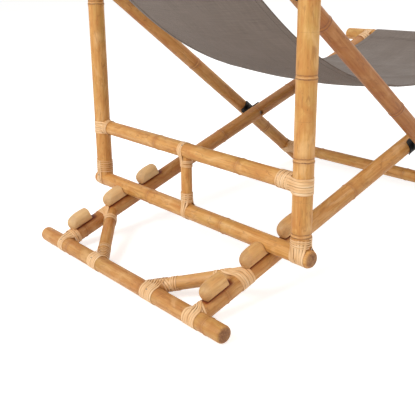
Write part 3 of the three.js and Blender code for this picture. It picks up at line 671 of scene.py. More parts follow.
def rail_tone_with_painted_shade(points, x, pole_tone):
    """The tone of a seat rail's skin: the pole's own, with painted shade close to each of its blocks."""
    rail_way = np.array(seat.along)
    offset = (points - np.array(seat.at(x, 0, BLOCK_HEIGHT))) / MM
    along = -offset @ rail_way
    away = np.linalg.norm(offset + np.outer(along, rail_way), axis=1) - BLOCK_RADIUS
    share = np.zeros(len(points))
    for index in range(3):
        notch = FIRST_NOTCH + index * RACK_PITCH
        past_heel = ease(along, notch - BLOCK_LENGTH - HEEL_FADE, notch - BLOCK_LENGTH)
        past_mouth = ease(along, notch - MOUTH_FADE[0], notch + MOUTH_FADE[1])
        share = np.maximum(share, past_heel * (1 - past_mouth) * (1 - ease(away, *CREVICE_PAINTED_SHADE_REACH)))
    return pole_tone + (CREVICE_PAINTED_SHADE - pole_tone) * share


def store_grain(mesh, origin, axis, rings, cut, pole_tone, number, scar=0.0):
    """Stores what the bamboo material reads: the place in the pole, its rings, cuts and tone."""
    points = corners_of(mesh)
    along = (points - origin) @ axis
    first, second = side_axes(axis)
    # Each pole reads its own stretch of the grain, so that no two look alike
    depth = along + GRAIN_STEP * number
    local = np.stack([(points - origin) @ first, (points - origin) @ second, depth], 1)
    gaps = [along / MM - place for place in rings] or [np.full(len(points), FAR)]
    nearest = np.argmin(np.abs(gaps), 0)
    point_values(mesh, "grain", "FLOAT_VECTOR", local)
    point_values(mesh, "ring", "FLOAT", np.choose(nearest, gaps) if len(gaps) > 1 else gaps[0])
    point_values(mesh, "cut", "FLOAT", cut)
    point_values(mesh, "tone", "FLOAT", np.zeros(len(points)) + pole_tone)
    point_values(mesh, "scar", "FLOAT", np.full(len(points), scar))


print("block height above the rail's line:", BLOCK_HEIGHT, "mm")

# %% [markdown]
# ## Bolt holes and pockets
# The rails and posts are drilled for the bolts. In the inner pole of each pair the hole ends in a
# wider pocket, in which the nut is sunk. A dark disc on the skin would do from afar, but the bolt
# would then run through solid wood. The same plain cylinders that drill the poles also cut the
# blocks and the saddles below, so one function makes them, and a Boolean takes them out.

# %% Cutting tools and bolt holes
BOLT_RADIUS = 4.0
BORE_REACH = 26.0
NUT_RADIUS = 5.5
NUT_LENGTH = 10.0
NUT_DEPTH = 6.0


def plain_tool(name, from_point, to_point, radius, sides=72):
    """A plain cylinder between two points, for cutting with or for cutting from."""
    axis = to_point - from_point
    work = bmesh.new()
    bmesh.ops.create_cone(work, cap_ends=True, segments=sides, radius1=radius * MM, radius2=radius * MM,
                          depth=axis.length)
    mesh = bpy.data.meshes.new(name)
    work.to_mesh(mesh)
    work.free()
    turned = axis.to_track_quat("Z", "X").to_matrix().to_4x4()
    mesh.transform(Matrix.Translation((from_point + to_point) / 2) @ turned)
    return link_mesh(name, mesh)


def subtract(piece, tools):
    """Cuts the tools out of a piece, and removes them."""
    for tool in tools:
        modifier = piece.modifiers.new("cut", "BOOLEAN")
        modifier.operation = "DIFFERENCE"
        modifier.solver = "EXACT"
        modifier.object = tool
    bake(piece)
    for tool in tools:
        bpy.data.objects.remove(tool)


def drill(piece, bores, radius):
    """Cuts a bolt hole along X at each place, with a pocket on the inner side where a nut is sunk."""
    tools = []
    for spot, with_nut in bores:
        half = Vector((BORE_REACH * MM, 0, 0))
        tools.append(plain_tool("bore", spot - half, spot + half, BOLT_RADIUS + CLEARANCE, 24))
        if with_nut:
            inward = -math.copysign(1, spot.x)
            mouth = spot + Vector((inward * BORE_REACH * MM, 0, 0))
            bottom = spot + Vector((inward * (radius - NUT_DEPTH - NUT_LENGTH - CLEARANCE) * MM, 0, 0))
            tools.append(plain_tool("pocket", mouth, bottom, NUT_RADIUS + CLEARANCE, 32))
    if tools:
        subtract(piece, tools)


# %% [markdown]
# ## One pole from start to end
# A pole is made in the order that a workshop would follow: it is grown to its full length, its ends
# are shaped, it is drilled, and the finish comes last. The values for the finish could be stored
# before the drilling, but the walls of the new holes would then have none.

# %% One pole
CUT_EDGE_SHARES = (0.12, 0.62)
poles = {}


def tip_gaps(places, length, ends):
    """How far each station is from the nearer rounded tip."""
    from_start = places if ends[0] == "round" else np.full(len(places), FAR)
    from_end = length - places if ends[1] == "round" else np.full(len(places), FAR)
    return np.minimum(from_start, from_end)


def cut_faces(points, along, length, ends):
    """Where a pole shows its cut ends: 1 on a cut face, fading out over the edge of a rounded one."""
    cut = np.zeros(len(points))
    for kind, reach in ((ends[0], along), (ends[1], length - along)):
        if kind == "round":
            cut = np.maximum(cut, 1 - ease(reach, *(share * TIP_ROUND for share in CUT_EDGE_SHARES)))
        elif kind == "foot":
            cut = np.maximum(cut, reach < EDGE_GAP / 2)
            cut = np.maximum(cut, points[:, 2] < EDGE_GAP * MM / 2)
    return cut


def make_pole(name, start, end, radius, ends, rings, copes=(None, None), pole_tone=0.0, scar=0.6, bores=(),
              carries_blocks=False):
    """Grows one pole from start to end. A cope names the line and radius of the pole it meets."""
    number = len(poles) + 1
    origin, finish = np.array(start), np.array(end)
    length = np.linalg.norm(finish - origin)
    axis = (finish - origin) / length
    places = stations(length / MM, rings, ends)
    line_mesh = bpy.data.meshes.new(name)
    line_mesh.from_pydata([origin + axis * spot * MM for spot in places],
                          [(i, i + 1) for i in range(len(places) - 1)], [])
    signed = [places - ring_place for ring_place in rings] or [np.full(len(places), FAR)]
    nearest = np.argmin(np.abs(signed), 0)
    gap = np.array([signed[row][i] for i, row in enumerate(nearest)])
    point_values(line_mesh, "ring_gap", "FLOAT", gap * MM)
    point_values(line_mesh, "tip_gap", "FLOAT", tip_gaps(places, length / MM, ends) * MM)
    piece = grow(name, line_mesh, pole_tree, {"Radius": radius * MM, "Seed": float(number)})
    mesh = piece.data
    points = corners_of(mesh)
    for which, met in enumerate(copes):
        if met:
            along = (points - origin) @ axis
            through_point, through_line, through_radius = met
            points = cope(points, along, origin, axis, np.array(through_point), np.array(through_line),
                          through_radius, which == 0, length)
    mesh.vertices.foreach_set("co", points.ravel())
    if ends[0] == "foot":
        level_cut(mesh)
    drill(piece, bores, radius)
    points = corners_of(piece.data)
    cut = cut_faces(points, (points - origin) @ axis / MM, length / MM, ends)
    # Rails that carry blocks get painted shade beside each block
    tone = rail_tone_with_painted_shade(points, start.x / MM, pole_tone) if carries_blocks else pole_tone
    store_grain(piece.data, origin, axis, rings, cut, tone, number, scar)
    smooth_by_angle(piece.data)
    return piece


# %% [markdown]
# ## Every pole in one table
# Each row is one pole: its two ends, how each end is finished, and where its nodes are. The node
# places were read off the photograph where they show, and so was how brown or pale each pole is.
# Fifteen poles modelled one by one would drift apart, and a table keeps them one family.

# %% The table of poles
ACROSS = Vector((1, 0, 0))
floor_bar_line = (seat.at(0, 0), ACROSS, RADII["rear_floor_bar"])
front_bar_line = (seat.at(0, -SEAT_LENGTH), ACROSS, RADII["front_bar"])
lower_bar_line = (prop.at(0, 0), ACROSS, RADII["prop_lower_bar"])
upper_bar_line = (prop.at(0, PROP_UPPER_RISE), ACROSS, RADII["prop_upper_bar"])
BRACE_FOOT = 74.0
BRACE_HEAD = 133.0
BAR_TIP = 310.0
PROP_BAR_TIP = 342.5
BAR_SCAR = 0.25


def lines_at(side_frame, x, pole):
    """The lines of a pole and its twin on the right and the left side."""
    return [(side_frame.at(place, 0), side_frame.along, RADII[pole]) for place in (-x, x)]


def cross_bar(name, side_frame, along, tip_x, rings, copes=(None, None), pole_tone=0.0):
    """Adds a bar that runs across a frame, with both ends coped or both rounded."""
    kind = "cope" if copes[0] else "round"
    poles[name] = make_pole(f"bamboo_{name}", side_frame.at(-tip_x, along), side_frame.at(tip_x, along),
                            RADII[name], (kind, kind), rings, copes, pole_tone, BAR_SCAR)


back_lines = lines_at(back, BACK_X, "back_rail")
cross_bar("rear_floor_bar", seat, 0, BAR_TIP, (41, 226, 498), pole_tone=0.22)
cross_bar("front_bar", seat, -SEAT_LENGTH, BAR_TIP, (110, 323, 550))
cross_bar("foot_stretcher", back, -HINGE_TO_STRETCHER, BACK_X, (148, 412), back_lines, 0.05)
cross_bar("head_bar", back, HINGE_TO_HEAD_BAR, BACK_X, (190, 455), back_lines)
cross_bar("prop_lower_bar", prop, 0, PROP_BAR_TIP, (222.5, 463.5))
cross_bar("prop_upper_bar", prop, PROP_UPPER_RISE, POST_X, (149.3, 401.3),
          lines_at(prop, POST_X, "prop_post"))
poles["prop_strut"] = make_pole(
    "bamboo_prop_strut", prop.at(0, 0), prop.at(0, PROP_UPPER_RISE), RADII["prop_strut"],
    ("cope", "cope"), (), (lower_bar_line, upper_bar_line))
print("cross bars and strut:", len(poles))

# %% Rails, posts and braces
FOOT_REACH = 257.8
FOOT_OVERRUN = 8.0
HEAD_TIP = 40.0
POST_TIP = 45.0
RAIL_SCAR = 0.2
BACK_SCAR = 0.7
POST_SCAR = 1.0
RAIL_RINGS = {"left": (52, 473, 594, 721, 930), "right": (65, 405, 688, 884)}
BACK_RINGS = {"left": (180, 476, 743, 1018), "right": (104, 409, 676, 950)}
POST_RINGS = {"left": (392,), "right": (36, 164, 296, 436)}
RAIL_TONE = {"left": 0.4, "right": 0.2}
BACK_TONE = {"left": 0.25, "right": 0.6}
BRACE_TONE = {"left": 0.2, "right": -0.15}
for side, sign in SIDES.items():
    rail_x, back_x, post_x = sign * RAIL_X, sign * BACK_X, sign * POST_X
    poles[f"seat_rail_{side}"] = make_pole(
        f"bamboo_seat_rail_{side}", seat.at(rail_x, 0), seat.at(rail_x, -SEAT_LENGTH), RADII["seat_rail"],
        ("cope", "cope"), RAIL_RINGS[side], (floor_bar_line, front_bar_line), RAIL_TONE[side], RAIL_SCAR,
        [(seat.at(rail_x, -HINGE_TO_FLOOR_BAR), True)], carries_blocks=True)
    poles[f"back_rail_{side}"] = make_pole(
        f"bamboo_back_rail_{side}", back.at(back_x, -FOOT_REACH - FOOT_OVERRUN),
        back.at(back_x, HINGE_TO_HEAD_BAR + HEAD_TIP), RADII["back_rail"],
        ("foot", "round"), BACK_RINGS[side], (None, None), BACK_TONE[side], BACK_SCAR,
        [(back.at(back_x, 0), False), (back.at(back_x, HINGE_TO_PIVOT), True)])
    poles[f"prop_post_{side}"] = make_pole(
        f"bamboo_prop_post_{side}", prop.at(post_x, 0), prop.at(post_x, PROP_LENGTH + POST_TIP),
        RADII["prop_post"], ("cope", "round"), POST_RINGS[side], (lower_bar_line, None), 0.0, POST_SCAR,
        [(prop.at(post_x, PROP_LENGTH), False)])
    poles[f"corner_brace_{side}"] = make_pole(
        f"bamboo_corner_brace_{side}", seat.at(sign * BRACE_FOOT, 0), seat.at(rail_x, -BRACE_HEAD),
        RADII["corner_brace"], ("cope", "cope"), (),
        (floor_bar_line, (seat.at(rail_x, 0), seat.along, RADII["seat_rail"])), BRACE_TONE[side])
print("poles:", len(poles), "faces:", sum(len(p.data.polygons) for p in poles.values()))

# %% [markdown]
# ## Rack blocks
# Three short billets of bamboo sit on each seat rail, and the prop frame's lower bar rests against
# the middle one. Each billet is hollowed under, where it sits on the rail, and cut on a slant and
# rounded off behind. The one that the bar rests against is hollowed for it in front, and the
# others are cut nearly flat. Boolean cuts give those true shapes. The heel is then pressed to a
# dome, and a fine voxel remesh with a little smoothing softens the saw's edges, as sanding did,
# with more of it round the heel.

# %% Blocks by cutting and sanding
BLOCK_SLANT = math.radians(30)
NOTCH_PLAY = 0.4
BLOCK_TONE = {"left": -0.55, "right": -0.2}
# Painted shade on a block where it meets the rail: its tone there, and the gap over which it fades
SEAM_PAINTED_SHADE = 1.0
SEAM_PAINTED_SHADE_REACH = (0.4, 2.2)
HEEL_CUT = 0.4
MOUTH_CUT = 0.7
FRONT_SETBACK = 10.0
MOUTH_RADIUS = 34.0
MOUTH_DEPTH = 2.5
SAND_VOXEL = 0.8
SANDING = 5
HEEL_SANDING = 26
HEEL_RISE = 10.5
HEEL_FALL = 11.0
HEEL_SPAN = 16.0
HEEL_DEPTH = 7.0
TOOL_REACH = 40.0
BLOCK_SPARE = 20.0
SLANT_DEPTH = 60.0
SLANT_RADIUS = 90.0


def sand(block, passes):
    """Rebuilds the skin of a block from small cubes, and smooths it."""
    sander = block.modifiers.new("sand", "REMESH")
    sander.mode = "VOXEL"
    sander.voxel_size = SAND_VOXEL * MM
    softener = block.modifiers.new("soften", "SMOOTH")
    softener.factor = 0.5
    softener.iterations = passes
    bake(block)


def soften(mesh, centre, way):
    """Sands the heel's edge rounder than the rest."""
    work = bmesh.new()
    work.from_mesh(mesh)
    heel = [v for v in work.verts if (np.array(v.co) - centre) @ way > -HEEL_DEPTH * MM]
    for _ in range(HEEL_SANDING):
        bmesh.ops.smooth_vert(work, verts=heel, factor=0.5, use_axis_x=True, use_axis_y=True, use_axis_z=True)
    work.to_mesh(mesh)
    work.free()


def saw_block(name, x, notch, front, mouth, mouth_radius):
    """Saws one block: a billet less the slant behind, the bar in front and the rail below."""
    heel = notch - BLOCK_LENGTH
    block = plain_tool(name, seat.at(x, -front, BLOCK_HEIGHT), seat.at(x, BLOCK_SPARE - heel, BLOCK_HEIGHT),
                       BLOCK_RADIUS)
    bar = plain_tool("bar", seat.at(x - TOOL_REACH, mouth, notch_seat),
                     seat.at(x + TOOL_REACH, mouth, notch_seat), mouth_radius)
    rail = plain_tool("rail", seat.at(x, TOOL_REACH), seat.at(x, -notch - TOOL_REACH),
                      RADII["seat_rail"] + CLEARANCE)
    cut_way = seat.along * math.cos(BLOCK_SLANT) + seat.square * math.sin(BLOCK_SLANT)
    heel_point = seat.at(x, -heel, RADII["seat_rail"])
    slant_start = heel_point + cut_way * HEEL_RISE * MM
    slant = plain_tool("slant", slant_start, slant_start + cut_way * SLANT_DEPTH * MM, SLANT_RADIUS)
    subtract(block, [slant, bar, rail])
    sand(block, 1)
    return block, np.array(heel_point), np.array(cut_way)


def round_heel(block, centre, way):
    """Presses the slanted end of a block to a dome about a centre."""
    places = corners_of(block.data)
    past = (places - centre) @ way / MM
    spread = np.linalg.norm(places - centre - np.outer((places - centre) @ way, way), axis=1) / MM
    dome = HEEL_RISE - HEEL_FALL * (spread / HEEL_SPAN) ** 2
    places -= np.outer(np.maximum(past - dome, 0) * MM, way)
    block.data.vertices.foreach_set("co", places.ravel())
    sand(block, SANDING)
    soften(block.data, centre, way)


def off_line(points, line_point, line_way):
    """How far each point is from a line, in millimetres."""
    offset = (points - np.array(line_point)) / MM
    offset -= np.outer(offset @ np.array(line_way), np.array(line_way))
    return np.linalg.norm(offset, axis=1)


def make_block(side, index):
    """Makes one block: the one that carries the bar has its mouth, and the others a flatter front."""
    x = SIDES[side] * RAIL_X
    notch = FIRST_NOTCH + index * RACK_PITCH
    front = notch - (0.0 if index == REST_BLOCK else FRONT_SETBACK)
    mouth = -notch if index == REST_BLOCK else MOUTH_DEPTH - MOUTH_RADIUS - front
    mouth_radius = RADII["prop_lower_bar"] + CLEARANCE + NOTCH_PLAY if index == REST_BLOCK else MOUTH_RADIUS
    name = f"bamboo_block_{side}_{index + 1}"
    block, heel_point, way = saw_block(name, x, notch, front, mouth, mouth_radius)
    origin, rail_way = np.array(seat.at(x, -notch, BLOCK_HEIGHT)), np.array(seat.along)
    centre = origin + rail_way * ((heel_point - origin) @ way) / (rail_way @ way)
    round_heel(block, centre, way)
    block.data.materials.clear()
    block.data.materials.append(bamboo)

    skin = corners_of(block.data)
    heel_gap = (skin - centre) @ way / MM
    mouth_gap = off_line(skin, seat.at(x, mouth, notch_seat), ACROSS) - mouth_radius + CLEARANCE + NOTCH_PLAY
    cut = np.maximum(HEEL_CUT * ease(heel_gap, -4.0, 2.0), MOUTH_CUT * (1 - ease(mouth_gap, 0.9, 2.0)))
    # The block's skin is darker close to the rail, as painted shade in the corner where it sits
    seam_gap = off_line(skin, seat.at(x, 0), seat.along) - RADII["seat_rail"]
    seam = BLOCK_TONE[side] + (SEAM_PAINTED_SHADE - BLOCK_TONE[side]) * (1 - ease(seam_gap, *SEAM_PAINTED_SHADE_REACH))
    number = 20 + 3 * SIDES[side] + index
    store_grain(block.data, origin, rail_way, (), cut, seam, number)
    smooth_by_angle(block.data, 60)
    return block


blocks = {}
for side in SIDES:
    for index in range(3):
        blocks[f"rack_block_{side}_{index + 1}"] = make_block(side, index)
print("blocks:", len(blocks), "faces:", sum(len(b.data.polygons) for b in blocks.values()))

# %% [markdown]
# ## Cane bindings
# Each joint is bound the way a rattan worker binds it. Straps of cane pass round the pole that runs
# through and lie along the pole that ends there, and rings round that second pole grip them. At
# the floor bar and the braces the straps cross over the ending pole instead and pass round its
# far side, which gives the slanting pattern that the photograph shows, and on the near side a few
# more strands slant against them. Such routes could be drawn by hand, point by point. Here each
# is found by pulling the strap tight: every point moves towards its neighbours and is then
# pushed back out of both poles.

# %% Routes of the straps
STRAP_STEP = 2.5
CANE_GAP = 0.25
CANE_THICKNESS = 0.6
STRAP_WIDTH = 4.6
RING_WIDTH = 4.3
RING_SLIM = 0.88
COUNTER_WIDTH = 4.4
PULLS = 24
CROSSING_PULLS = 12
NARROWS = (0.9, 4.5)
LAYER_RISE = 0.3
UNEVEN = 0.45
GRIP_EDGE_SHARE = 0.93
STRAP_LEAD = 4.0
WRAP_HALF = 0.62 * math.pi
FACING_BLEND = 0.4


class Joint:
    """Two poles that meet: one runs through the corner and the branch ends there."""

    def __init__(self, corner, through, branch, through_radius, branch_radius):
        self.corner, self.through, self.branch = (np.array(v, float) for v in (corner, through, branch))
        self.through_radius, self.branch_radius = through_radius, branch_radius
        lean = self.through @ self.branch
        self.lean, self.square = lean, math.sqrt(1 - lean * lean)
        self.inward = (self.branch - lean * self.through) / self.square
        self.upward = (self.through - lean * self.branch) / self.square
        self.sideways = np.cross(self.through, self.inward)

    def on_branch(self, along, turn, lift):
        """A place over the branch: how far along it, at which turn, and how high over its skin."""
        out = self.upward * math.cos(turn) + self.sideways * math.sin(turn)
        return self.corner + (self.branch * along + out * (self.branch_radius + lift)) * MM

    def on_through(self, along, turn, lift):
        """A place over the through pole, told in the same way."""
        out = -self.inward * math.cos(turn) + self.sideways * math.sin(turn)
        return self.corner + (self.through * along + out * (self.through_radius + lift)) * MM

    def faces(self, points, lifts):
        """The way out of each pole at each point, and how far the point is inside that pole's wrap."""
        ways, depths = [], []
        radii = (self.through_radius, self.branch_radius)
        for line, radius, lift in zip((self.through, self.branch), radii, lifts):
            offset = points - self.corner
            flat = offset - np.outer(offset @ line, line)
            reach = np.linalg.norm(flat, axis=1)
            ways.append(flat / reach[:, None])
            depths.append((radius + lift) * MM - reach)
        behind = (points - self.corner) @ self.inward < 0
        depths[1] = np.where(behind, -1.0, depths[1])
        return ways, depths

    def slimness(self, points, narrowing):
        """The width of a strap at each point: full round the through pole, less on the branch."""
        above = -self.faces(points, (0, 0))[1][0] / MM
        return 1 - narrowing * ease(above, *NARROWS)


def pull_tight(joint, points, lifts, closed=False, pulls=PULLS):
    """Draws a strap tight: smooths its points and keeps them outside both poles."""
    for _ in range(pulls):
        middle = (np.roll(points, 1, 0) + np.roll(points, -1, 0)) / 2
        if not closed:
            middle[0], middle[-1] = points[0], points[-1]
        points = (points + middle) / 2
        for pole in (0, 1):
            ways, depths = joint.faces(points, lifts)
            push = np.maximum(depths[pole], 0)
            if not closed:
                push[0] = push[-1] = 0
            points = points + ways[pole] * push[:, None]
    return points


def outward(joint, points, lifts):
    """The way the strip faces: out of the nearer pole, turning smoothly from one to the other."""
    ways, depths = joint.faces(points, lifts)
    weights = [1 / (FACING_BLEND * MM + np.maximum(-depth, 0)) ** 2 for depth in depths]
    facing = ways[0] * weights[0][:, None] + ways[1] * weights[1][:, None]
    return facing / np.linalg.norm(facing, axis=1)[:, None]


def resample(points, step):
    """The same line with its points a set step apart."""
    steps = np.linalg.norm(np.diff(points, axis=0), axis=1)
    run = np.concatenate([[0], np.cumsum(steps)])
    places = np.linspace(0, run[-1], max(3, int(run[-1] / (step * MM)) + 1))
    return np.stack([np.interp(places, run, points[:, k]) for k in range(3)], 1)


def loop_strap(joint, height, grip, lift):
    """A strap round the through pole, whose two ends lie along the sides of the branch."""
    limit = GRIP_EDGE_SHARE * joint.branch_radius
    level = float(np.clip(height * joint.square, -limit, limit))
    turn = math.acos(level / joint.branch_radius)
    near = joint.through_radius + STRAP_LEAD
    tail = [joint.on_branch(spot, turn, lift) for spot in np.linspace(grip, near, 8)]
    round_pole = [joint.on_through(height, t, lift) for t in np.linspace(WRAP_HALF, -WRAP_HALF, 16)]
    other = [joint.on_branch(spot, -turn, lift) for spot in np.linspace(near, grip, 8)]
    points = resample(np.array(tail + round_pole + other), STRAP_STEP)
    points = pull_tight(joint, points, (lift, lift))
    return points, outward(joint, points, (lift, lift)), False


def crossing_strap(joint, height, spot, lift, layer, one_way):
    """A closed strap: round the through pole at height, over the branch and round its other side."""
    far = math.pi if one_way or height > 0 else 0.0
    top, bottom = math.pi / 2, -math.pi / 2 + (2 * math.pi if far else 0.0)
    round_pole = [joint.on_through(height, t, lift) for t in np.linspace(-WRAP_HALF, WRAP_HALF, 16)]
    turns = [*np.linspace(top, far, 8), *np.linspace(far, bottom, 10)[1:]]
    over_branch = [joint.on_branch(spot, t, lift) for t in turns]
    points = resample(np.array(round_pole + over_branch + round_pole[:1]), STRAP_STEP)[:-1]
    points = pull_tight(joint, points, (lift, lift + layer), True, CROSSING_PULLS)
    start = int(np.argmin(points[:, 2]))
    points = np.roll(points, -start, 0)
    return points, outward(joint, points, (lift, lift + layer)), True


def counter_strands(joint, count, spot, pitch, slant, first_turn, lift):
    """Open strands over one side of the branch that slant against the crossing straps."""
    routes = []
    for k in range(count):
        turns = np.linspace(first_turn, -math.pi / 2, 30)
        points = [joint.on_branch(spot + k * pitch - slant * math.cos(turn), turn, lift) for turn in turns]
        facing = [joint.upward * math.cos(turn) + joint.sideways * math.sin(turn) for turn in turns]
        routes.append((np.array(points), np.array(facing), False))
    return routes


def ring_binding(joint, start, turns, pitch, lift, slant=0.0):
    """Rings round the branch in one winding. A slant tips them towards the branch's far side."""
    steps = int(turns * 2 * math.pi * joint.branch_radius / STRAP_STEP)
    points, facing = [], []
    for turn in np.linspace(0, turns * 2 * math.pi, steps):
        along = start + pitch * turn / (2 * math.pi) - slant * math.cos(turn)
        along += UNEVEN * math.sin(0.53 * turn)
        points.append(joint.on_branch(along, turn, lift))
        facing.append(joint.upward * math.cos(turn) + joint.sideways * math.sin(turn))
    return np.array(points), np.array(facing), False


print("strap:", STRAP_WIDTH, "by", CANE_THICKNESS, "mm")

# %% [markdown]
# ## Strips swept along the routes
# A second tree turns each route into a strip of cane. A plain curve bevel would twist the strip by
# its own rule. The route's points carry the way that the strip's face looks, and Set Curve Normal
# in Free mode uses it, so that the strip lies flat on the poles all the way round. The section is
# a flat rectangle with rounded corners, each point of the route says how wide the strip is there,
# and the sweep keeps how far along and across each point is for the material.

# %% The strip tree
STRIP_STEP = 3.1
strip_tree, given = new_tree("cane_strip", {
    "Width": ("Float", STRAP_WIDTH * MM), "Thickness": ("Float", CANE_THICKNESS * MM),
    "Corner": ("Float", 0.0004), "Material": ("Material", cane),
})
looks = add(strip_tree, "GeometryNodeInputNamedAttribute", {"Name": "facing"},
            data_type="FLOAT_VECTOR").outputs[0]
route = add(strip_tree, "GeometryNodeMeshToCurve", {"Mesh": given["Geometry"]}).outputs[0]
route = add(strip_tree, "GeometryNodeSetCurveNormal", {"Curve": route, "Normal": looks},
            mode="FREE").outputs[0]
spot = add(strip_tree, "GeometryNodeSplineParameter").outputs["Length"]
which = add(strip_tree, "GeometryNodeInputNamedAttribute", {"Name": "strip"}).outputs[0]
# Each strip reads its own stretch of the cane's fibres
spot = add(strip_tree, "ShaderNodeMath", {
    0: which, 1: STRIP_STEP, 2: spot}, operation="MULTIPLY_ADD").outputs[0]
route = add(strip_tree, "GeometryNodeStoreNamedAttribute", {
    "Geometry": route, "Name": "strip_along", "Value": spot}).outputs[0]
flat = add(strip_tree, "GeometryNodeCurvePrimitiveQuadrilateral", {
    "Width": given["Thickness"], "Height": given["Width"]}).outputs[0]
flat = add(strip_tree, "GeometryNodeFilletCurve", {
    "Curve": flat, "Count": 2, "Radius": given["Corner"], "Limit Radius": True}, mode="POLY").outputs[0]
corner = add(strip_tree, "GeometryNodeInputPosition").outputs[0]
corner = add(strip_tree, "ShaderNodeSeparateXYZ", {0: corner}).outputs["Y"]
half = add(strip_tree, "ShaderNodeMath", {0: given["Width"], 1: 0.5}, operation="MULTIPLY").outputs[0]
share = add(strip_tree, "ShaderNodeMath", {0: corner, 1: half}, operation="DIVIDE").outputs[0]
flat = add(strip_tree, "GeometryNodeStoreNamedAttribute", {
    "Geometry": flat, "Name": "strip_across", "Value": share}).outputs[0]
slim = add(strip_tree, "GeometryNodeInputNamedAttribute", {"Name": "slim"}).outputs[0]
strips = add(strip_tree, "GeometryNodeCurveToMesh", {
    "Curve": route, "Profile Curve": flat, "Scale": slim, "Fill Caps": True}).outputs[0]
end_tree(strip_tree, strips, given["Material"])
print("strip tree:", len(strip_tree.nodes), "nodes")


# %% From routes to strips
def route_mesh(name, routes, slim=lambda places: np.ones(len(places))):
    """One mesh of all the routes as chains of edges, with the way each point faces and its width."""
    points, edges, facing, number, widths = [], [], [], [], []
    for index, (places, ways, closed) in enumerate(routes):
        first = len(points)
        points += list(places)
        facing += list(ways)
        number += [index] * len(places)
        widths += list(slim(places))
        edges += [(first + i, first + i + 1) for i in range(len(places) - 1)]
        edges += [(first + len(places) - 1, first)] if closed else []
    mesh = bpy.data.meshes.new(name)
    mesh.from_pydata(points, edges, [])
    point_values(mesh, "facing", "FLOAT_VECTOR", facing)
    point_values(mesh, "strip", "FLOAT", number)
    point_values(mesh, "slim", "FLOAT", widths)
    return mesh


def join_pieces(name, parts):
    """Joins plain mesh objects into one, keeping their stored values."""
    bpy.ops.object.select_all(action="DESELECT")
    for part in parts:
        part.select_set(True)
    bpy.context.view_layer.objects.active = parts[0]
    if len(parts) > 1:
        bpy.ops.object.join()
    parts[0].name = parts[0].data.name = name
    return parts[0]


def ring_slim(places):
    """Rings are drawn a little narrower than their pitch, with a dark edge that is partly the cut edge of the
    cane and partly painted shade.
    """
    return np.full(len(places), RING_SLIM)


# %% [markdown]
# ## Binding one joint
# A binding is three layers of cane at most: the straps that hold the poles together, the strands that
# slant against them, and the rings that grip the straps' ends. All three come from the same tree,
# and one function lays them from the joint's own sizes, so that no binding is placed by eye. Some
# bindings show the head of a small pin that holds a strap down.

# %% One binding
PIN_WAY = np.array((0.0, 0.6, 0.8))
LAST_RING_SHARE = 0.9
pin_places = {}


def bind(name, joint, straps=5, rings=5, pitch=4.9, shift=0.0, ring_pitch=4.4, ring_start=3.4, slant=0.0,
         crossing=False, apex_pitch=3.0, apex_start=1.0, ring_width=RING_WIDTH, strap_width=STRAP_WIDTH,
         narrowing=0.0, one_way=False, counter=None, pin=None):
    """Binds one joint and returns its cane as one piece. Lengths are in millimetres."""
    middle = joint.through_radius * joint.lean / joint.square + shift
    lift = CANE_GAP + CANE_THICKNESS / 2
    corner_reach = (joint.through_radius + joint.branch_radius * abs(joint.lean)) / joint.square
    grip = corner_reach + ring_start + ring_pitch * max(rings, 2) * LAST_RING_SHARE
    routes = []
    for k in range(straps):
        height = middle + (k - (straps - 1) / 2) * pitch + UNEVEN * math.sin(2.4 * k) / 2
        if crossing:
            spot = corner_reach + apex_start + (k + 0.5) * apex_pitch
            layer = LAYER_RISE * (k % 2) + (CANE_THICKNESS if counter else 0.0)
            routes.append(crossing_strap(joint, height, spot, lift, layer, one_way))
        else:
            routes.append(loop_strap(joint, height, grip, lift))
    if pin is not None:
        places, ways, _ = routes[pin]
        out = PIN_WAY - joint.through * (PIN_WAY @ joint.through)
        out *= joint.through_radius / np.linalg.norm(out)
        height = middle + (pin - (straps - 1) / 2) * pitch
        target = joint.corner + (joint.through * height + out) * MM
        at = int(np.argmin(np.linalg.norm(places - target, axis=1)))
        pin_places[name] = (places[at], ways[at])
    start = corner_reach + ring_start + (straps * apex_pitch + apex_start if crossing else 0.0)
    strap_lines = route_mesh(name, routes, lambda places: joint.slimness(places, narrowing))
    parts = [grow(f"{name}_straps", strap_lines, strip_tree, {"Width": strap_width * MM})]
    if counter:
        strands = route_mesh(name, counter_strands(joint, *counter, lift), ring_slim)
        parts.append(grow(f"{name}_counter", strands, strip_tree, {"Width": COUNTER_WIDTH * MM}))
    if rings:
        cover = lift + (0.0 if crossing else CANE_THICKNESS)
        winding = ring_binding(joint, start, rings, ring_pitch, cover, slant)
        ring_line = route_mesh(name, [winding], ring_slim)
        parts.append(grow(f"{name}_rings", ring_line, strip_tree, {"Width": ring_width * MM}))
    piece = join_pieces(name, parts)
    smooth_by_angle(piece.data, 50)
    return piece


# %% [markdown]
# ## The table of bindings
# No two bindings in the photograph are alike, so each side has its own numbers of straps and
# rings, and its own shift along the pole. One binding copied to every joint would be quicker and
# would look printed. The near side's numbers were read off the photograph, and the front bar's
# and head bar's, which it doesn't show, follow the foot stretcher's.

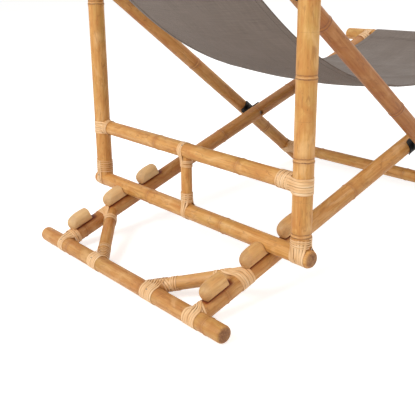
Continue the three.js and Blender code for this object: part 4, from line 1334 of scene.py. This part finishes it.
# %% Bindings
bindings = {}
for side, sign in SIDES.items():
    near = side == "right"
    rail_x, back_x, post_x = sign * RAIL_X, sign * BACK_X, sign * POST_X
    out, forward = Vector((sign, 0, 0)), -seat.along
    brace_way = (seat.at(rail_x, -BRACE_HEAD) - seat.at(sign * BRACE_FOOT, 0)).normalized()
    bindings[f"lashing_floor_bar_{side}"] = bind(
        f"cane_floor_bar_{side}",
        Joint(seat.at(rail_x, 0), out, forward, RADII["rear_floor_bar"], RADII["seat_rail"]),
        **(dict(straps=6, rings=0, pitch=5.6, strap_width=5.3, crossing=True, one_way=True, apex_start=-12.0,
                apex_pitch=3.6, narrowing=0.35, counter=(2, 17.0, 5.2, 8.0, math.pi)) if near else
           dict(straps=4, rings=4, shift=-10.0, ring_start=2.0, ring_pitch=4.2, slant=2.0, pin=2)))
    bindings[f"lashing_front_bar_{side}"] = bind(
        f"cane_front_bar_{side}",
        Joint(seat.at(rail_x, -SEAT_LENGTH), out, seat.along, RADII["front_bar"], RADII["seat_rail"]),
        straps=5, rings=6)
    bindings[f"lashing_brace_foot_{side}"] = bind(
        f"cane_brace_foot_{side}",
        Joint(seat.at(sign * BRACE_FOOT, 0), out, brace_way, RADII["rear_floor_bar"], RADII["corner_brace"]),
        pitch=5.3, crossing=True, one_way=True, rings=3, strap_width=5.2, narrowing=0.48, pin=3,
        **(dict(straps=7, shift=11.0, apex_start=-30.0, apex_pitch=6.0, ring_start=7.0,
                counter=(3, 37.0, 5.6, -12.0, 0.5 * math.pi)) if near else
           dict(straps=6, shift=-3.0, apex_start=-29.0, apex_pitch=5.4, ring_start=2.5, ring_width=2.2,
                ring_pitch=3.6)))
    bindings[f"lashing_brace_head_{side}"] = bind(
        f"cane_brace_head_{side}",
        Joint(seat.at(rail_x, -BRACE_HEAD), seat.along, -brace_way, RADII["seat_rail"],
              RADII["corner_brace"]),
        straps=6, rings=2 if near else 4, shift=4.0, crossing=near, pitch=5.0)
    for bar, along, way in (("foot_stretcher", -HINGE_TO_STRETCHER, back.along),
                            ("head_bar", HINGE_TO_HEAD_BAR, -back.along)):
        bindings[f"lashing_{bar}_{side}"] = bind(
            f"cane_{bar}_{side}",
            Joint(back.at(back_x, along), way, -out, RADII["back_rail"], RADII[bar]), straps=5, rings=6)
    bindings[f"lashing_post_foot_{side}"] = bind(
        f"cane_post_foot_{side}",
        Joint(prop.at(post_x, 0), out, prop.along, RADII["prop_lower_bar"], RADII["prop_post"]),
        **(dict(straps=7, rings=4, pitch=4.7, shift=3.2, ring_pitch=3.8, ring_width=2.8) if near else
           dict(straps=4, rings=6, shift=2.0, ring_pitch=4.9, ring_width=2.2, ring_start=2.0, pin=1)))
    bindings[f"lashing_upper_bar_{side}"] = bind(
        f"cane_upper_bar_{side}",
        Joint(prop.at(post_x, PROP_UPPER_RISE), prop.along, -out, RADII["prop_post"],
              RADII["prop_upper_bar"]),
        straps=6, rings=7 if near else 4, pitch=4.7, shift=-0.9, slant=1.2 if near else 0.0)
bindings["lashing_strut_top"] = bind(
    "cane_strut_top",
    Joint(prop.at(0, PROP_UPPER_RISE), ACROSS, -prop.along, RADII["prop_upper_bar"], RADII["prop_strut"]),
    straps=3, rings=4, shift=3.5, ring_width=3.4, ring_pitch=3.9, pin=0)
bindings["lashing_strut_foot"] = bind(
    "cane_strut_foot",
    Joint(prop.at(0, 0), ACROSS, prop.along, RADII["prop_lower_bar"], RADII["prop_strut"]),
    straps=3, rings=5, shift=-5.0, ring_width=3.4, ring_pitch=4.0)
print("bindings:", len(bindings), "faces:", sum(len(b.data.polygons) for b in bindings.values()))

# %% [markdown]
# ## Pins, bolts and nuts
# These are turned parts: round about an axis, with a radius that changes in steps. A Screw modifier
# could spin a profile for each. One tree sweeps a circle along a line of stations instead, each
# with its own radius, as a lathe does, so a part is only a short list of numbers. The bolts end
# in barrel nuts, which are sunk in the inner poles and hardly show.

# %% Turned parts
AXIS_RADIUS = 0.05
turned_tree, given = new_tree("turned_part", {"Sides": ("Int", 32), "Material": ("Material", zinc)})
girth = add(turned_tree, "GeometryNodeInputNamedAttribute", {"Name": "girth"}).outputs[0]
line = add(turned_tree, "GeometryNodeMeshToCurve", {"Mesh": given["Geometry"]}).outputs[0]
section = add(turned_tree, "GeometryNodeCurvePrimitiveCircle", {"Resolution": given["Sides"], "Radius": 1.0})
swept = add(turned_tree, "GeometryNodeCurveToMesh", {
    "Curve": line, "Profile Curve": section.outputs[0], "Scale": girth, "Fill Caps": True})
end_tree(turned_tree, swept.outputs[0], given["Material"])


def turn_part(name, origin, axis, profile, sides=32, material=zinc):
    """Turns a part from (place along the axis, radius) pairs in millimetres."""
    points = [Vector(origin) + Vector(axis) * spot * MM for spot, _ in profile]
    mesh = bpy.data.meshes.new(name)
    mesh.from_pydata(points, [(i, i + 1) for i in range(len(points) - 1)], [])
    point_values(mesh, "girth", "FLOAT", [max(radius, AXIS_RADIUS) * MM for _, radius in profile])
    piece = grow(name, mesh, turned_tree, {"Sides": sides, "Material": material})
    smooth_by_angle(piece.data, 32)
    return piece


def domed(start, radius, height, steps=7):
    """The profile of a dome, from just above its rim to its top."""
    turns = np.linspace(0, math.pi / 2, steps)
    return [(start + height * math.sin(t), radius * math.cos(t)) for t in turns][1:]


print("turned part tree:", len(turned_tree.nodes), "nodes")

# %% Bolts, nuts and pins
HEAD_RADIUS = 8.5
HEAD_HEIGHT = 4.0
HEAD_RIM = 1.0
SHARP_STEP = 0.02
THREAD_DEPTH = 0.3
TAIL_CHAMFER = 0.5
NUT_CHAMFER = 0.4
NUT_SHY = 0.05
hardware = {}
for side, sign in SIDES.items():
    out = Vector((sign, 0, 0))
    for joint_name, along, outer, inner in (
            ("hinge", 0.0, BACK_X + RADII["back_rail"], RAIL_X - RADII["seat_rail"]),
            ("pivot", HINGE_TO_PIVOT, POST_X + RADII["prop_post"], BACK_X - RADII["back_rail"])):
        axis_point = back.at(0, along)
        seat_at, tail = outer + CLEARANCE, inner + NUT_DEPTH
        bolt = [(tail - TAIL_CHAMFER, BOLT_RADIUS - THREAD_DEPTH - TAIL_CHAMFER),
                (tail, BOLT_RADIUS - THREAD_DEPTH), (seat_at, BOLT_RADIUS),
                (seat_at + SHARP_STEP, HEAD_RADIUS), (seat_at + HEAD_RIM, HEAD_RADIUS)]
        bolt += domed(seat_at + HEAD_RIM, HEAD_RADIUS, HEAD_HEIGHT - HEAD_RIM)
        nut_start, nut_end = tail + NUT_SHY, tail + NUT_LENGTH
        nut = [(nut_start, NUT_RADIUS - NUT_CHAMFER), (nut_start + NUT_CHAMFER, NUT_RADIUS),
               (nut_end - NUT_CHAMFER, NUT_RADIUS), (nut_end, NUT_RADIUS - NUT_CHAMFER)]
        for part_name, profile in ((f"{joint_name}_bolt_{side}", bolt), (f"{joint_name}_nut_{side}", nut)):
            hardware[part_name] = turn_part(f"zinc_{part_name}", axis_point, out, profile)
PIN_RADIUS = 1.5
PIN_SHANK = 0.6
PIN_DEPTH = 2.0
PIN_RIM = 0.1
PIN_DOME = 0.6
PIN_SINK = 0.2
pins = {}
for name, (place, way) in pin_places.items():
    lift = CANE_THICKNESS / 2 - PIN_SINK
    profile = [(lift - PIN_DEPTH, PIN_SHANK), (lift, PIN_SHANK), (lift + SHARP_STEP, PIN_RADIUS)]
    profile += domed(lift + PIN_RIM, PIN_RADIUS, PIN_DOME, 5)
    pins[name] = turn_part(name.replace("cane", "pin"), place, way, profile, sides=14)
print("hardware:", len(hardware), "pins:", len(pins))

# %% [markdown]
# ## Black saddles at the bolts
# Two round poles can't bear on each other squarely, so a moulded saddle sits between them: a thin
# cup that grips a third of the pole, with a lip turned out at each end and a round boss that
# meets the boss of its neighbour. Joining a cut tube and a cylinder would leave a hard crease. The
# cup is a grid bent round the pole instead: its outer face rises into the boss along a smooth
# curve, its corners are rounded, and an inner face and a rim close it.

# %% Saddles
SADDLE_LENGTH = 46.0
SADDLE_WALL = 1.8
SADDLE_LIP = 1.3
SADDLE_LIP_LENGTH = 4.0
SADDLE_EDGE = 2.5
SADDLE_WRAP = math.radians(60)
SADDLE_CORNER = 7.0
BOSS_RADIUS = 9.0
BOSS_FILLET = 2.2
BOSS_RIM = 0.4
SADDLE_CELL = 0.7


def two_faced_sheet(name, outer, inner, material):
    """A closed mesh from two grids of points, joined by a rim and turned to face outward."""
    rows, columns = outer.shape[:2]
    count = rows * columns
    at = np.arange(count).reshape(rows, columns)
    grid = np.stack([at[:-1, :-1], at[1:, :-1], at[1:, 1:], at[:-1, 1:]], -1).reshape(-1, 4)
    rim = np.concatenate([at[0, :-1], at[:-1, -1], at[-1, :0:-1], at[:0:-1, 0]])
    following = np.roll(rim, -1)
    faces = grid.tolist() + (grid + count)[:, ::-1].tolist()
    faces += np.stack([rim, following, following + count, rim + count], -1).tolist()
    mesh = bpy.data.meshes.new(name)
    mesh.from_pydata(np.concatenate([outer.reshape(-1, 3), inner.reshape(-1, 3)]).tolist(), [], faces)
    mesh.materials.append(material)
    work = bmesh.new()
    work.from_mesh(mesh)
    bmesh.ops.recalc_face_normals(work, faces=work.faces[:])
    work.to_mesh(mesh)
    work.free()
    return mesh


def saddle_faces(pole_radius, gap):
    """The saddle as a grid: how far along the pole, at which turn, and its outer and inner radius."""
    inner = pole_radius + CLEARANCE
    half_arc, half_length = inner * SADDLE_WRAP, SADDLE_LENGTH / 2
    rows, columns = int(SADDLE_LENGTH / SADDLE_CELL), int(2 * half_arc / SADDLE_CELL)
    u, v = np.meshgrid(np.linspace(-1, 1, rows + 1), np.linspace(-1, 1, columns + 1), indexing="ij")
    # The sheet's four corners are drawn in to a round
    edge = np.maximum(np.abs(v) * half_arc - (half_arc - SADDLE_CORNER), 0)
    shrink = SADDLE_CORNER - np.sqrt(np.maximum(SADDLE_CORNER ** 2 - edge ** 2, 0))
    along, turn = u * (half_length - shrink), v * SADDLE_WRAP
    lip = SADDLE_LIP * ease(np.abs(along), half_length - SADDLE_LIP_LENGTH, half_length)
    lip += 0.5 * SADDLE_LIP * ease(np.abs(turn) * inner, half_arc - SADDLE_EDGE, half_arc)
    outer_face = inner + SADDLE_WALL + lip
    from_bolt = np.hypot(along, outer_face * np.sin(turn))
    boss_face = (pole_radius + (gap - CLEARANCE) / 2) / np.maximum(np.cos(turn), 0.3)
    rise = 1 - ease(from_bolt, BOSS_RADIUS - BOSS_RIM, BOSS_RADIUS + BOSS_FILLET)
    outer_face = outer_face + np.maximum(boss_face - outer_face, 0) * rise
    return along, turn, outer_face, inner + lip * 0.55


def make_saddle(name, centre, along, facing, pole_radius, gap):
    """Bends a saddle round its pole, and drills it for the bolt."""
    spot, turn, *reaches = saddle_faces(pole_radius, gap)
    side = Vector(along).cross(Vector(facing))
    points = []
    for reach in reaches:
        offset = (np.asarray(facing)[None, None] * (reach * np.cos(turn))[..., None]
                  + np.asarray(side)[None, None] * (reach * np.sin(turn))[..., None]
                  + np.asarray(along)[None, None] * spot[..., None])
        points.append(np.asarray(centre) + offset * MM)
    piece = link_mesh(name, two_faced_sheet(name, *points, moulded))
    bolt_end = Vector(centre) + Vector(facing) * (pole_radius + gap) * MM
    subtract(piece, [plain_tool("bore", Vector(centre), bolt_end, BOLT_RADIUS + CLEARANCE, 32)])
    smooth_by_angle(piece.data, 40)
    return piece


HINGE_GAP = BACK_X - RADII["back_rail"] - RAIL_X - RADII["seat_rail"]
PIVOT_GAP = POST_X - RADII["prop_post"] - BACK_X - RADII["back_rail"]
saddles = {}
for side, sign in SIDES.items():
    out = Vector((sign, 0, 0))
    for name, side_frame, x, along, facing, pole_name, gap in (
            ("hinge_saddle_outer", back, BACK_X, 0, -out, "back_rail", HINGE_GAP),
            ("hinge_saddle_inner", seat, RAIL_X, -HINGE_TO_FLOOR_BAR, out, "seat_rail", HINGE_GAP),
            ("pivot_saddle_outer", prop, POST_X, PROP_LENGTH, -out, "prop_post", PIVOT_GAP),
            ("pivot_saddle_inner", back, BACK_X, HINGE_TO_PIVOT, out, "back_rail", PIVOT_GAP)):
        saddles[f"{name}_{side}"] = make_saddle(
            f"nylon_{name}_{side}", side_frame.at(sign * x, along), side_frame.along, facing,
            RADII[pole_name], gap)
print("saddles:", len(saddles), "faces:", sum(len(s.data.polygons) for s in saddles.values()))

# %% [markdown]
# ## The canvas sling
# One length of canvas hangs between the front bar and the head bar, with a sleeve sewn round each.
# It could be simulated, but a sling under no load keeps a simple shape, and the photograph gives
# its lower outline. So its side view is one curve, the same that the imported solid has. The tail of
# each sleeve lies back on the cloth under its seam.

# %% Side view of the sling
SLING_HALF = 204.9
SLING_WALL = 1.4
SLING_LOW_AHEAD = 165.0
SLING_LOW_RISE = 99.0
SLING_SAG = 15.0
SLING_SLOPES = (math.radians(-22), math.radians(49))
SLING_HANDLE = 0.42
SLEEVE_TURN = math.radians(305)
TAIL_DROP = SLING_WALL + 0.5
TAIL_PLACES = (26.0, 32.0, 38.0, 44.0, 48.0)
CLOTH_STEP = 6.0


def bezier(start, end, slope_in, slope_out, count):
    """A curve between two places that starts and ends at given slopes."""
    handle = SLING_HANDLE * np.linalg.norm(end - start)
    first = start + handle * np.array([math.cos(slope_in), math.sin(slope_in)])
    second = end - handle * np.array([math.cos(slope_out), math.sin(slope_out)])
    t = np.linspace(0, 1, count)[:, None]
    return (1 - t) ** 3 * start + 3 * (1 - t) ** 2 * t * first + 3 * (1 - t) * t * t * second + t ** 3 * end


def sleeve(bar, radius, slope, turn_sign):
    """The cloth round a bar from where the sling leaves it, and the tail that lies back on the sling."""
    reach = radius + CLEARANCE + SLING_WALL / 2
    start = slope + math.pi / 2
    turns = start + turn_sign * np.linspace(0, SLEEVE_TURN, 48)
    ring_places = bar + reach * np.stack([np.cos(turns), np.sin(turns)], 1)
    along = turn_sign * np.array([math.cos(slope), math.sin(slope)])
    inward = -np.array([math.cos(start), math.sin(start)])
    tail = [bar - inward * (reach - TAIL_DROP) + along * far for far in TAIL_PLACES]
    return ring_places, np.array(tail)


def side_view(point):
    """A place as it is seen from the side, in millimetres."""
    return np.array([point.y, point.z]) / MM


front_bar_at, head_bar_at, hinge_at = [
    side_view(place) for place in (seat.at(0, -SEAT_LENGTH), back.at(0, HINGE_TO_HEAD_BAR), back.at(0, 0))]
front_ring, front_tail = sleeve(front_bar_at, RADII["front_bar"], SLING_SLOPES[0], 1)
head_ring, head_tail = sleeve(head_bar_at, RADII["head_bar"], SLING_SLOPES[1], -1)
low_point = hinge_at + np.array([-SLING_LOW_AHEAD, SLING_LOW_RISE])
span = np.concatenate([
    bezier(front_ring[0], low_point, SLING_SLOPES[0], 0.0, 60)[:-1],
    bezier(low_point, head_ring[0], 0.0, SLING_SLOPES[1], 110)])
profile = np.concatenate([front_tail[::-1], front_ring[::-1], span[1:-1], head_ring, head_tail])
profile = resample(np.column_stack([profile * MM, np.zeros(len(profile))]), CLOTH_STEP)[:, :2] / MM
run = np.concatenate([[0], np.cumsum(np.linalg.norm(np.diff(profile, axis=0), axis=1))])
start_row = int(np.argmin(np.linalg.norm(profile - front_ring[0], axis=1)))
end_row = len(profile) - 1 - int(np.argmin(np.linalg.norm(profile - head_ring[0], axis=1)[::-1]))
print("cloth", round(2 * SLING_HALF), "by", round(run[-1]), "mm, free span",
      round(run[end_row] - run[start_row]), "mm")

# %% [markdown]
# ## The cloth itself
# The cloth is a fine grid bent along that curve. It sags a little more in its middle than along its
# hems, soft pull lines fan out from the sleeves, and a few slanting folds cross the low part. A
# random noise would look like dented metal, so each fold is a sine wave whose lengths suit cloth.
# The hems are turned under, and the flat map keeps each point's place in the uncut sheet.

# %% Cloth
HEM_WIDTH = 14.0
HEM_RISE = 0.7
FOLD_DEPTH = 1.6
columns = np.unique(np.concatenate([
    np.linspace(-SLING_HALF, SLING_HALF, 61),
    [s * (SLING_HALF - HEM_WIDTH + d) for s in (-1, 1) for d in (-1.2, -0.4, 0.4)]]))
across = columns / SLING_HALF
share = np.clip((run - run[start_row]) / (run[end_row] - run[start_row]), 0, 1)
sag = SLING_SAG * np.sin(math.pi * share)[:, None] * (1 - across ** 2)[None]
# Pull lines fan out from both sleeves and die away before the middle
near_sleeve = np.exp(-share / 0.16) + np.exp(-(1 - share) / 0.16)
free = ease(share, 0.0, 0.05) * ease(1 - share, 0.0, 0.05)
fan = np.sin(columns[None] * 0.062 * (1 - 0.35 * share[:, None]) + 0.8 * np.sin(columns * 0.021)[None] + 1.3)
ripple = 0.6 * np.sin(columns[None] * 0.017 + run[:, None] * 0.011) + 0.5 * np.sin(run[:, None] * 0.024 + 2.0)
# A few slanting folds cross the low part, where the cloth is slack
slack = np.exp(-((share - 0.26) / 0.13) ** 2)[:, None]
slanting = np.maximum(np.sin(run[:, None] * 0.040 + columns[None] * 0.021 + 0.7), 0) ** 2
slanting += 0.7 * np.maximum(np.sin(run[:, None] * 0.057 - columns[None] * 0.014 + 2.2), 0) ** 3
lift = FOLD_DEPTH * free[:, None] * (near_sleeve[:, None] * fan + 0.7 * ripple + 1.8 * slack * slanting)
run_way = np.gradient(profile, axis=0)
run_way /= np.linalg.norm(run_way, axis=1)[:, None]
square_way = np.stack([-run_way[:, 1], run_way[:, 0]], 1)


def cloth_points(raise_by):
    """The grid of the cloth, raised off its middle by so many millimetres."""
    places = profile[:, None] + square_way[:, None] * (lift + raise_by)[..., None]
    x = np.broadcast_to(columns, lift.shape)
    return np.stack([x, places[..., 0], places[..., 1] - sag], -1) * MM


hem = HEM_RISE * (ease(np.abs(columns), SLING_HALF - HEM_WIDTH - 0.8, SLING_HALF - HEM_WIDTH + 0.4))[None]
top = cloth_points(SLING_WALL / 2 + np.zeros_like(lift))
bottom = cloth_points(-SLING_WALL / 2 - hem)
mesh = two_faced_sheet("canvas_sling", top, bottom, canvas)
flat_place = np.stack(np.broadcast_arrays(columns[None] * MM, run[:, None] * MM), -1).reshape(-1, 2)
# The under side reads the weave a quarter of a thread further on
flat_place = np.concatenate([flat_place, flat_place + THREAD_PITCH * MM / 4])
uv = mesh.uv_layers.new(name="cloth")
loops = np.zeros(len(mesh.loops), np.int32)
mesh.loops.foreach_get("vertex_index", loops)
uv.data.foreach_set("uv", flat_place[loops].astype(np.float32).ravel())
smooth_by_angle(mesh, 60)
sling = link_mesh("canvas_sling", mesh)
print("sling faces:", len(mesh.polygons))

# %% [markdown]
# ## Stitches
# Seams hold the hems and the sleeves. A stitch is a short bead of thread, and there are hundreds,
# which is what instances are for. A painted dashed line would lie flat under a low lamp. The tree
# walks along each seam, puts one bead every few millimetres with its length turned along the seam,
# and makes them real at the end. Real stitches are 3 mm apart and 0.4 mm thick, and these are
# drawn 4.2 mm apart and 0.9 mm thick so that they show.

# %% The stitch tree
stitch_tree, given = new_tree("stitches", {
    "Pitch": ("Float", 0.0042), "Bead length": ("Float", 0.0032), "Thickness": ("Float", 0.00045),
    "Material": ("Material", thread),
})
seam = add(stitch_tree, "GeometryNodeMeshToCurve", {"Mesh": given["Geometry"]}).outputs[0]
spots = add(stitch_tree, "GeometryNodeCurveToPoints", {
    "Curve": seam, "Length": given["Pitch"]}, mode="LENGTH")
bead = add(stitch_tree, "GeometryNodeMeshUVSphere", {"Segments": 6, "Rings": 4, "Radius": 1.0}).outputs[0]
half_length = add(stitch_tree, "ShaderNodeMath", {
    0: given["Bead length"], 1: 0.5}, operation="MULTIPLY").outputs[0]
size = add(stitch_tree, "ShaderNodeCombineXYZ", {
    "X": given["Thickness"], "Y": given["Thickness"], "Z": half_length}).outputs[0]
bead = add(stitch_tree, "GeometryNodeTransform", {"Geometry": bead, "Scale": size}).outputs[0]
turned = add(stitch_tree, "FunctionNodeAlignRotationToVector", {"Vector": spots.outputs["Tangent"]}, axis="Z")
beads = add(stitch_tree, "GeometryNodeInstanceOnPoints", {
    "Points": spots.outputs["Points"], "Instance": bead, "Rotation": turned.outputs[0]}).outputs[0]
end_tree(stitch_tree, beads, given["Material"])
print("stitch tree:", len(stitch_tree.nodes), "nodes")

# %% Seams of the sling
SEAM_LIFT = 0.2
SEAM_INSET = 2.5
SLEEVE_SEAMS = (32.0, 38.0)
seam_routes = []
surface_top = cloth_points(SLING_WALL / 2 + SEAM_LIFT + np.zeros_like(lift))
surface_under = cloth_points(-SLING_WALL / 2 - HEM_RISE - SEAM_LIFT + np.zeros_like(lift))
for hem_side in (-1, 1):
    column = int(np.argmin(np.abs(columns - hem_side * (SLING_HALF - HEM_WIDTH + SEAM_INSET))))
    for surface in (surface_top, surface_under):
        seam_routes.append((surface[start_row:end_row, column], surface[start_row:end_row, column], False))
for seam_run in [run[start_row] + far for far in SLEEVE_SEAMS] + [run[end_row] - far for far in SLEEVE_SEAMS]:
    row = int(np.argmin(np.abs(run - seam_run)))
    seam_routes.append((surface_top[row, 1:-1], surface_top[row, 1:-1], False))
seams = grow("thread_sling_seams", route_mesh("seams", seam_routes), stitch_tree, {})
print("stitch faces:", len(seams.data.polygons))

# %% [markdown]
# ## Handing every piece to its body
# Each detailed piece of the frame now stands for its solid: the solid is hidden, and the piece moves
# with the body that the solid belongs to. The solid of the sling is hidden too. The bodies could
# be typed in piece by piece, but the frame already knows the body of each solid, so it is asked.

# %% Bodies and finishes
SLOT_OF = {
    "bamboo": {**poles, **blocks}, "split_cane": bindings, "black_plastic": saddles, "zinc_steel": hardware}
for slot_name, group in SLOT_OF.items():
    for node, piece in group.items():
        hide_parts(node)
        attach(piece, frame["nodes"][node]["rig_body"])
for name, pin in pins.items():
    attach(pin, frame["nodes"][name.replace("cane", "lashing")]["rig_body"])
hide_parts("sling")

# %% [markdown]
# ## The sling's place
# The sling is cloth that reaches from the seat frame to the back frame, so it bends between the
# two when the chair is folded. Here it is given no bend: the sling and its stitches keep their
# places, written into their meshes.

# %% The sling's place
for piece in (sling, seams):
    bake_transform(piece)
print("nodes replaced:", sum(len(group) for group in SLOT_OF.values()) + 1, "of", len(frame["nodes"]))

# %% [markdown]
# ## Studio
# The chair stands on a plain pale floor in soft light from large lamps, as for a catalogue. The
# photograph's ground is pure white, so the floor and the world look white to the camera and in
# reflections, and the floor still takes the shadow of the chair. The lamps are set so that a
# pale pole renders about as its colour is written.

# %% Floor and world
FLOOR_HALF = 9.0


def seen_plainly(tree):
    """1 for rays from the camera, in reflections and through clear parts, and 0 for all others."""
    ray = add(tree, "ShaderNodeLightPath").outputs
    seen = ray["Is Camera Ray"]
    for kind in ("Is Glossy Ray", "Is Transmission Ray"):
        seen = add(tree, "ShaderNodeMath", {0: seen, 1: ray[kind]}, operation="MAXIMUM").outputs[0]
    return seen


floor_mesh = bpy.data.meshes.new("studio_floor")
floor_mesh.from_pydata([(-FLOOR_HALF, -FLOOR_HALF, 0), (FLOOR_HALF, -FLOOR_HALF, 0),
                        (FLOOR_HALF, FLOOR_HALF, 0), (-FLOOR_HALF, FLOOR_HALF, 0)], [], [(0, 1, 2, 3)])
floor = link_mesh("studio_floor", floor_mesh)
paper, tree = new_material("white_paper_floor")
diffuse = add(tree, "ShaderNodeBsdfDiffuse", {"Color": colour("#F1F0EE")})
glow = add(tree, "ShaderNodeEmission", {"Color": colour("#FFFFFF"), "Strength": 0.6})
plain = add(tree, "ShaderNodeAddShader", {0: diffuse.outputs[0], 1: glow.outputs[0]})
both = add(tree, "ShaderNodeMixShader", {0: seen_plainly(tree), 1: diffuse.outputs[0], 2: plain.outputs[0]})
add(tree, "ShaderNodeOutputMaterial", {"Surface": both.outputs[0]})
floor_mesh.materials.append(paper)

world = bpy.data.worlds.new("white_studio")
bpy.context.scene.world = world
world.use_nodes = True
tree = world.node_tree
tree.nodes.clear()
soft = add(tree, "ShaderNodeBackground", {"Color": colour("#FFFFFF"), "Strength": 0.44})
white = add(tree, "ShaderNodeBackground", {"Color": colour("#FFFFFF"), "Strength": 1.0})
sky = add(tree, "ShaderNodeMixShader", {0: seen_plainly(tree), 1: soft.outputs[0], 2: white.outputs[0]})
add(tree, "ShaderNodeOutputWorld", {"Surface": sky.outputs[0]})
print("floor", 2 * FLOOR_HALF, "m wide")

# %% Lamps
LAMP_TARGET = Vector((0, 0.1, 0.3))


def lamp(name, place, size, power):
    """Hangs a round softbox at a place and turns it to the chair."""
    data = bpy.data.lights.new(name, "AREA")
    data.shape = "DISK"
    data.size = size
    data.energy = power
    light = bpy.data.objects.new(name, data)
    bpy.context.scene.collection.objects.link(light)
    way = LAMP_TARGET - Vector(place)
    light.matrix_world = Matrix.Translation(place) @ way.to_track_quat("-Z", "Y").to_matrix().to_4x4()


lamp("key_softbox", (0.3, 2.7, 2.2), 1.7, 60)
lamp("fill_softbox", (-2.2, 0.7, 1.7), 2.0, 16)
lamp("rear_softbox", (0.2, -2.2, 2.5), 1.9, 26)
bpy.context.scene.view_settings.view_transform = "Standard"
print("lamps:", len(bpy.data.lights))
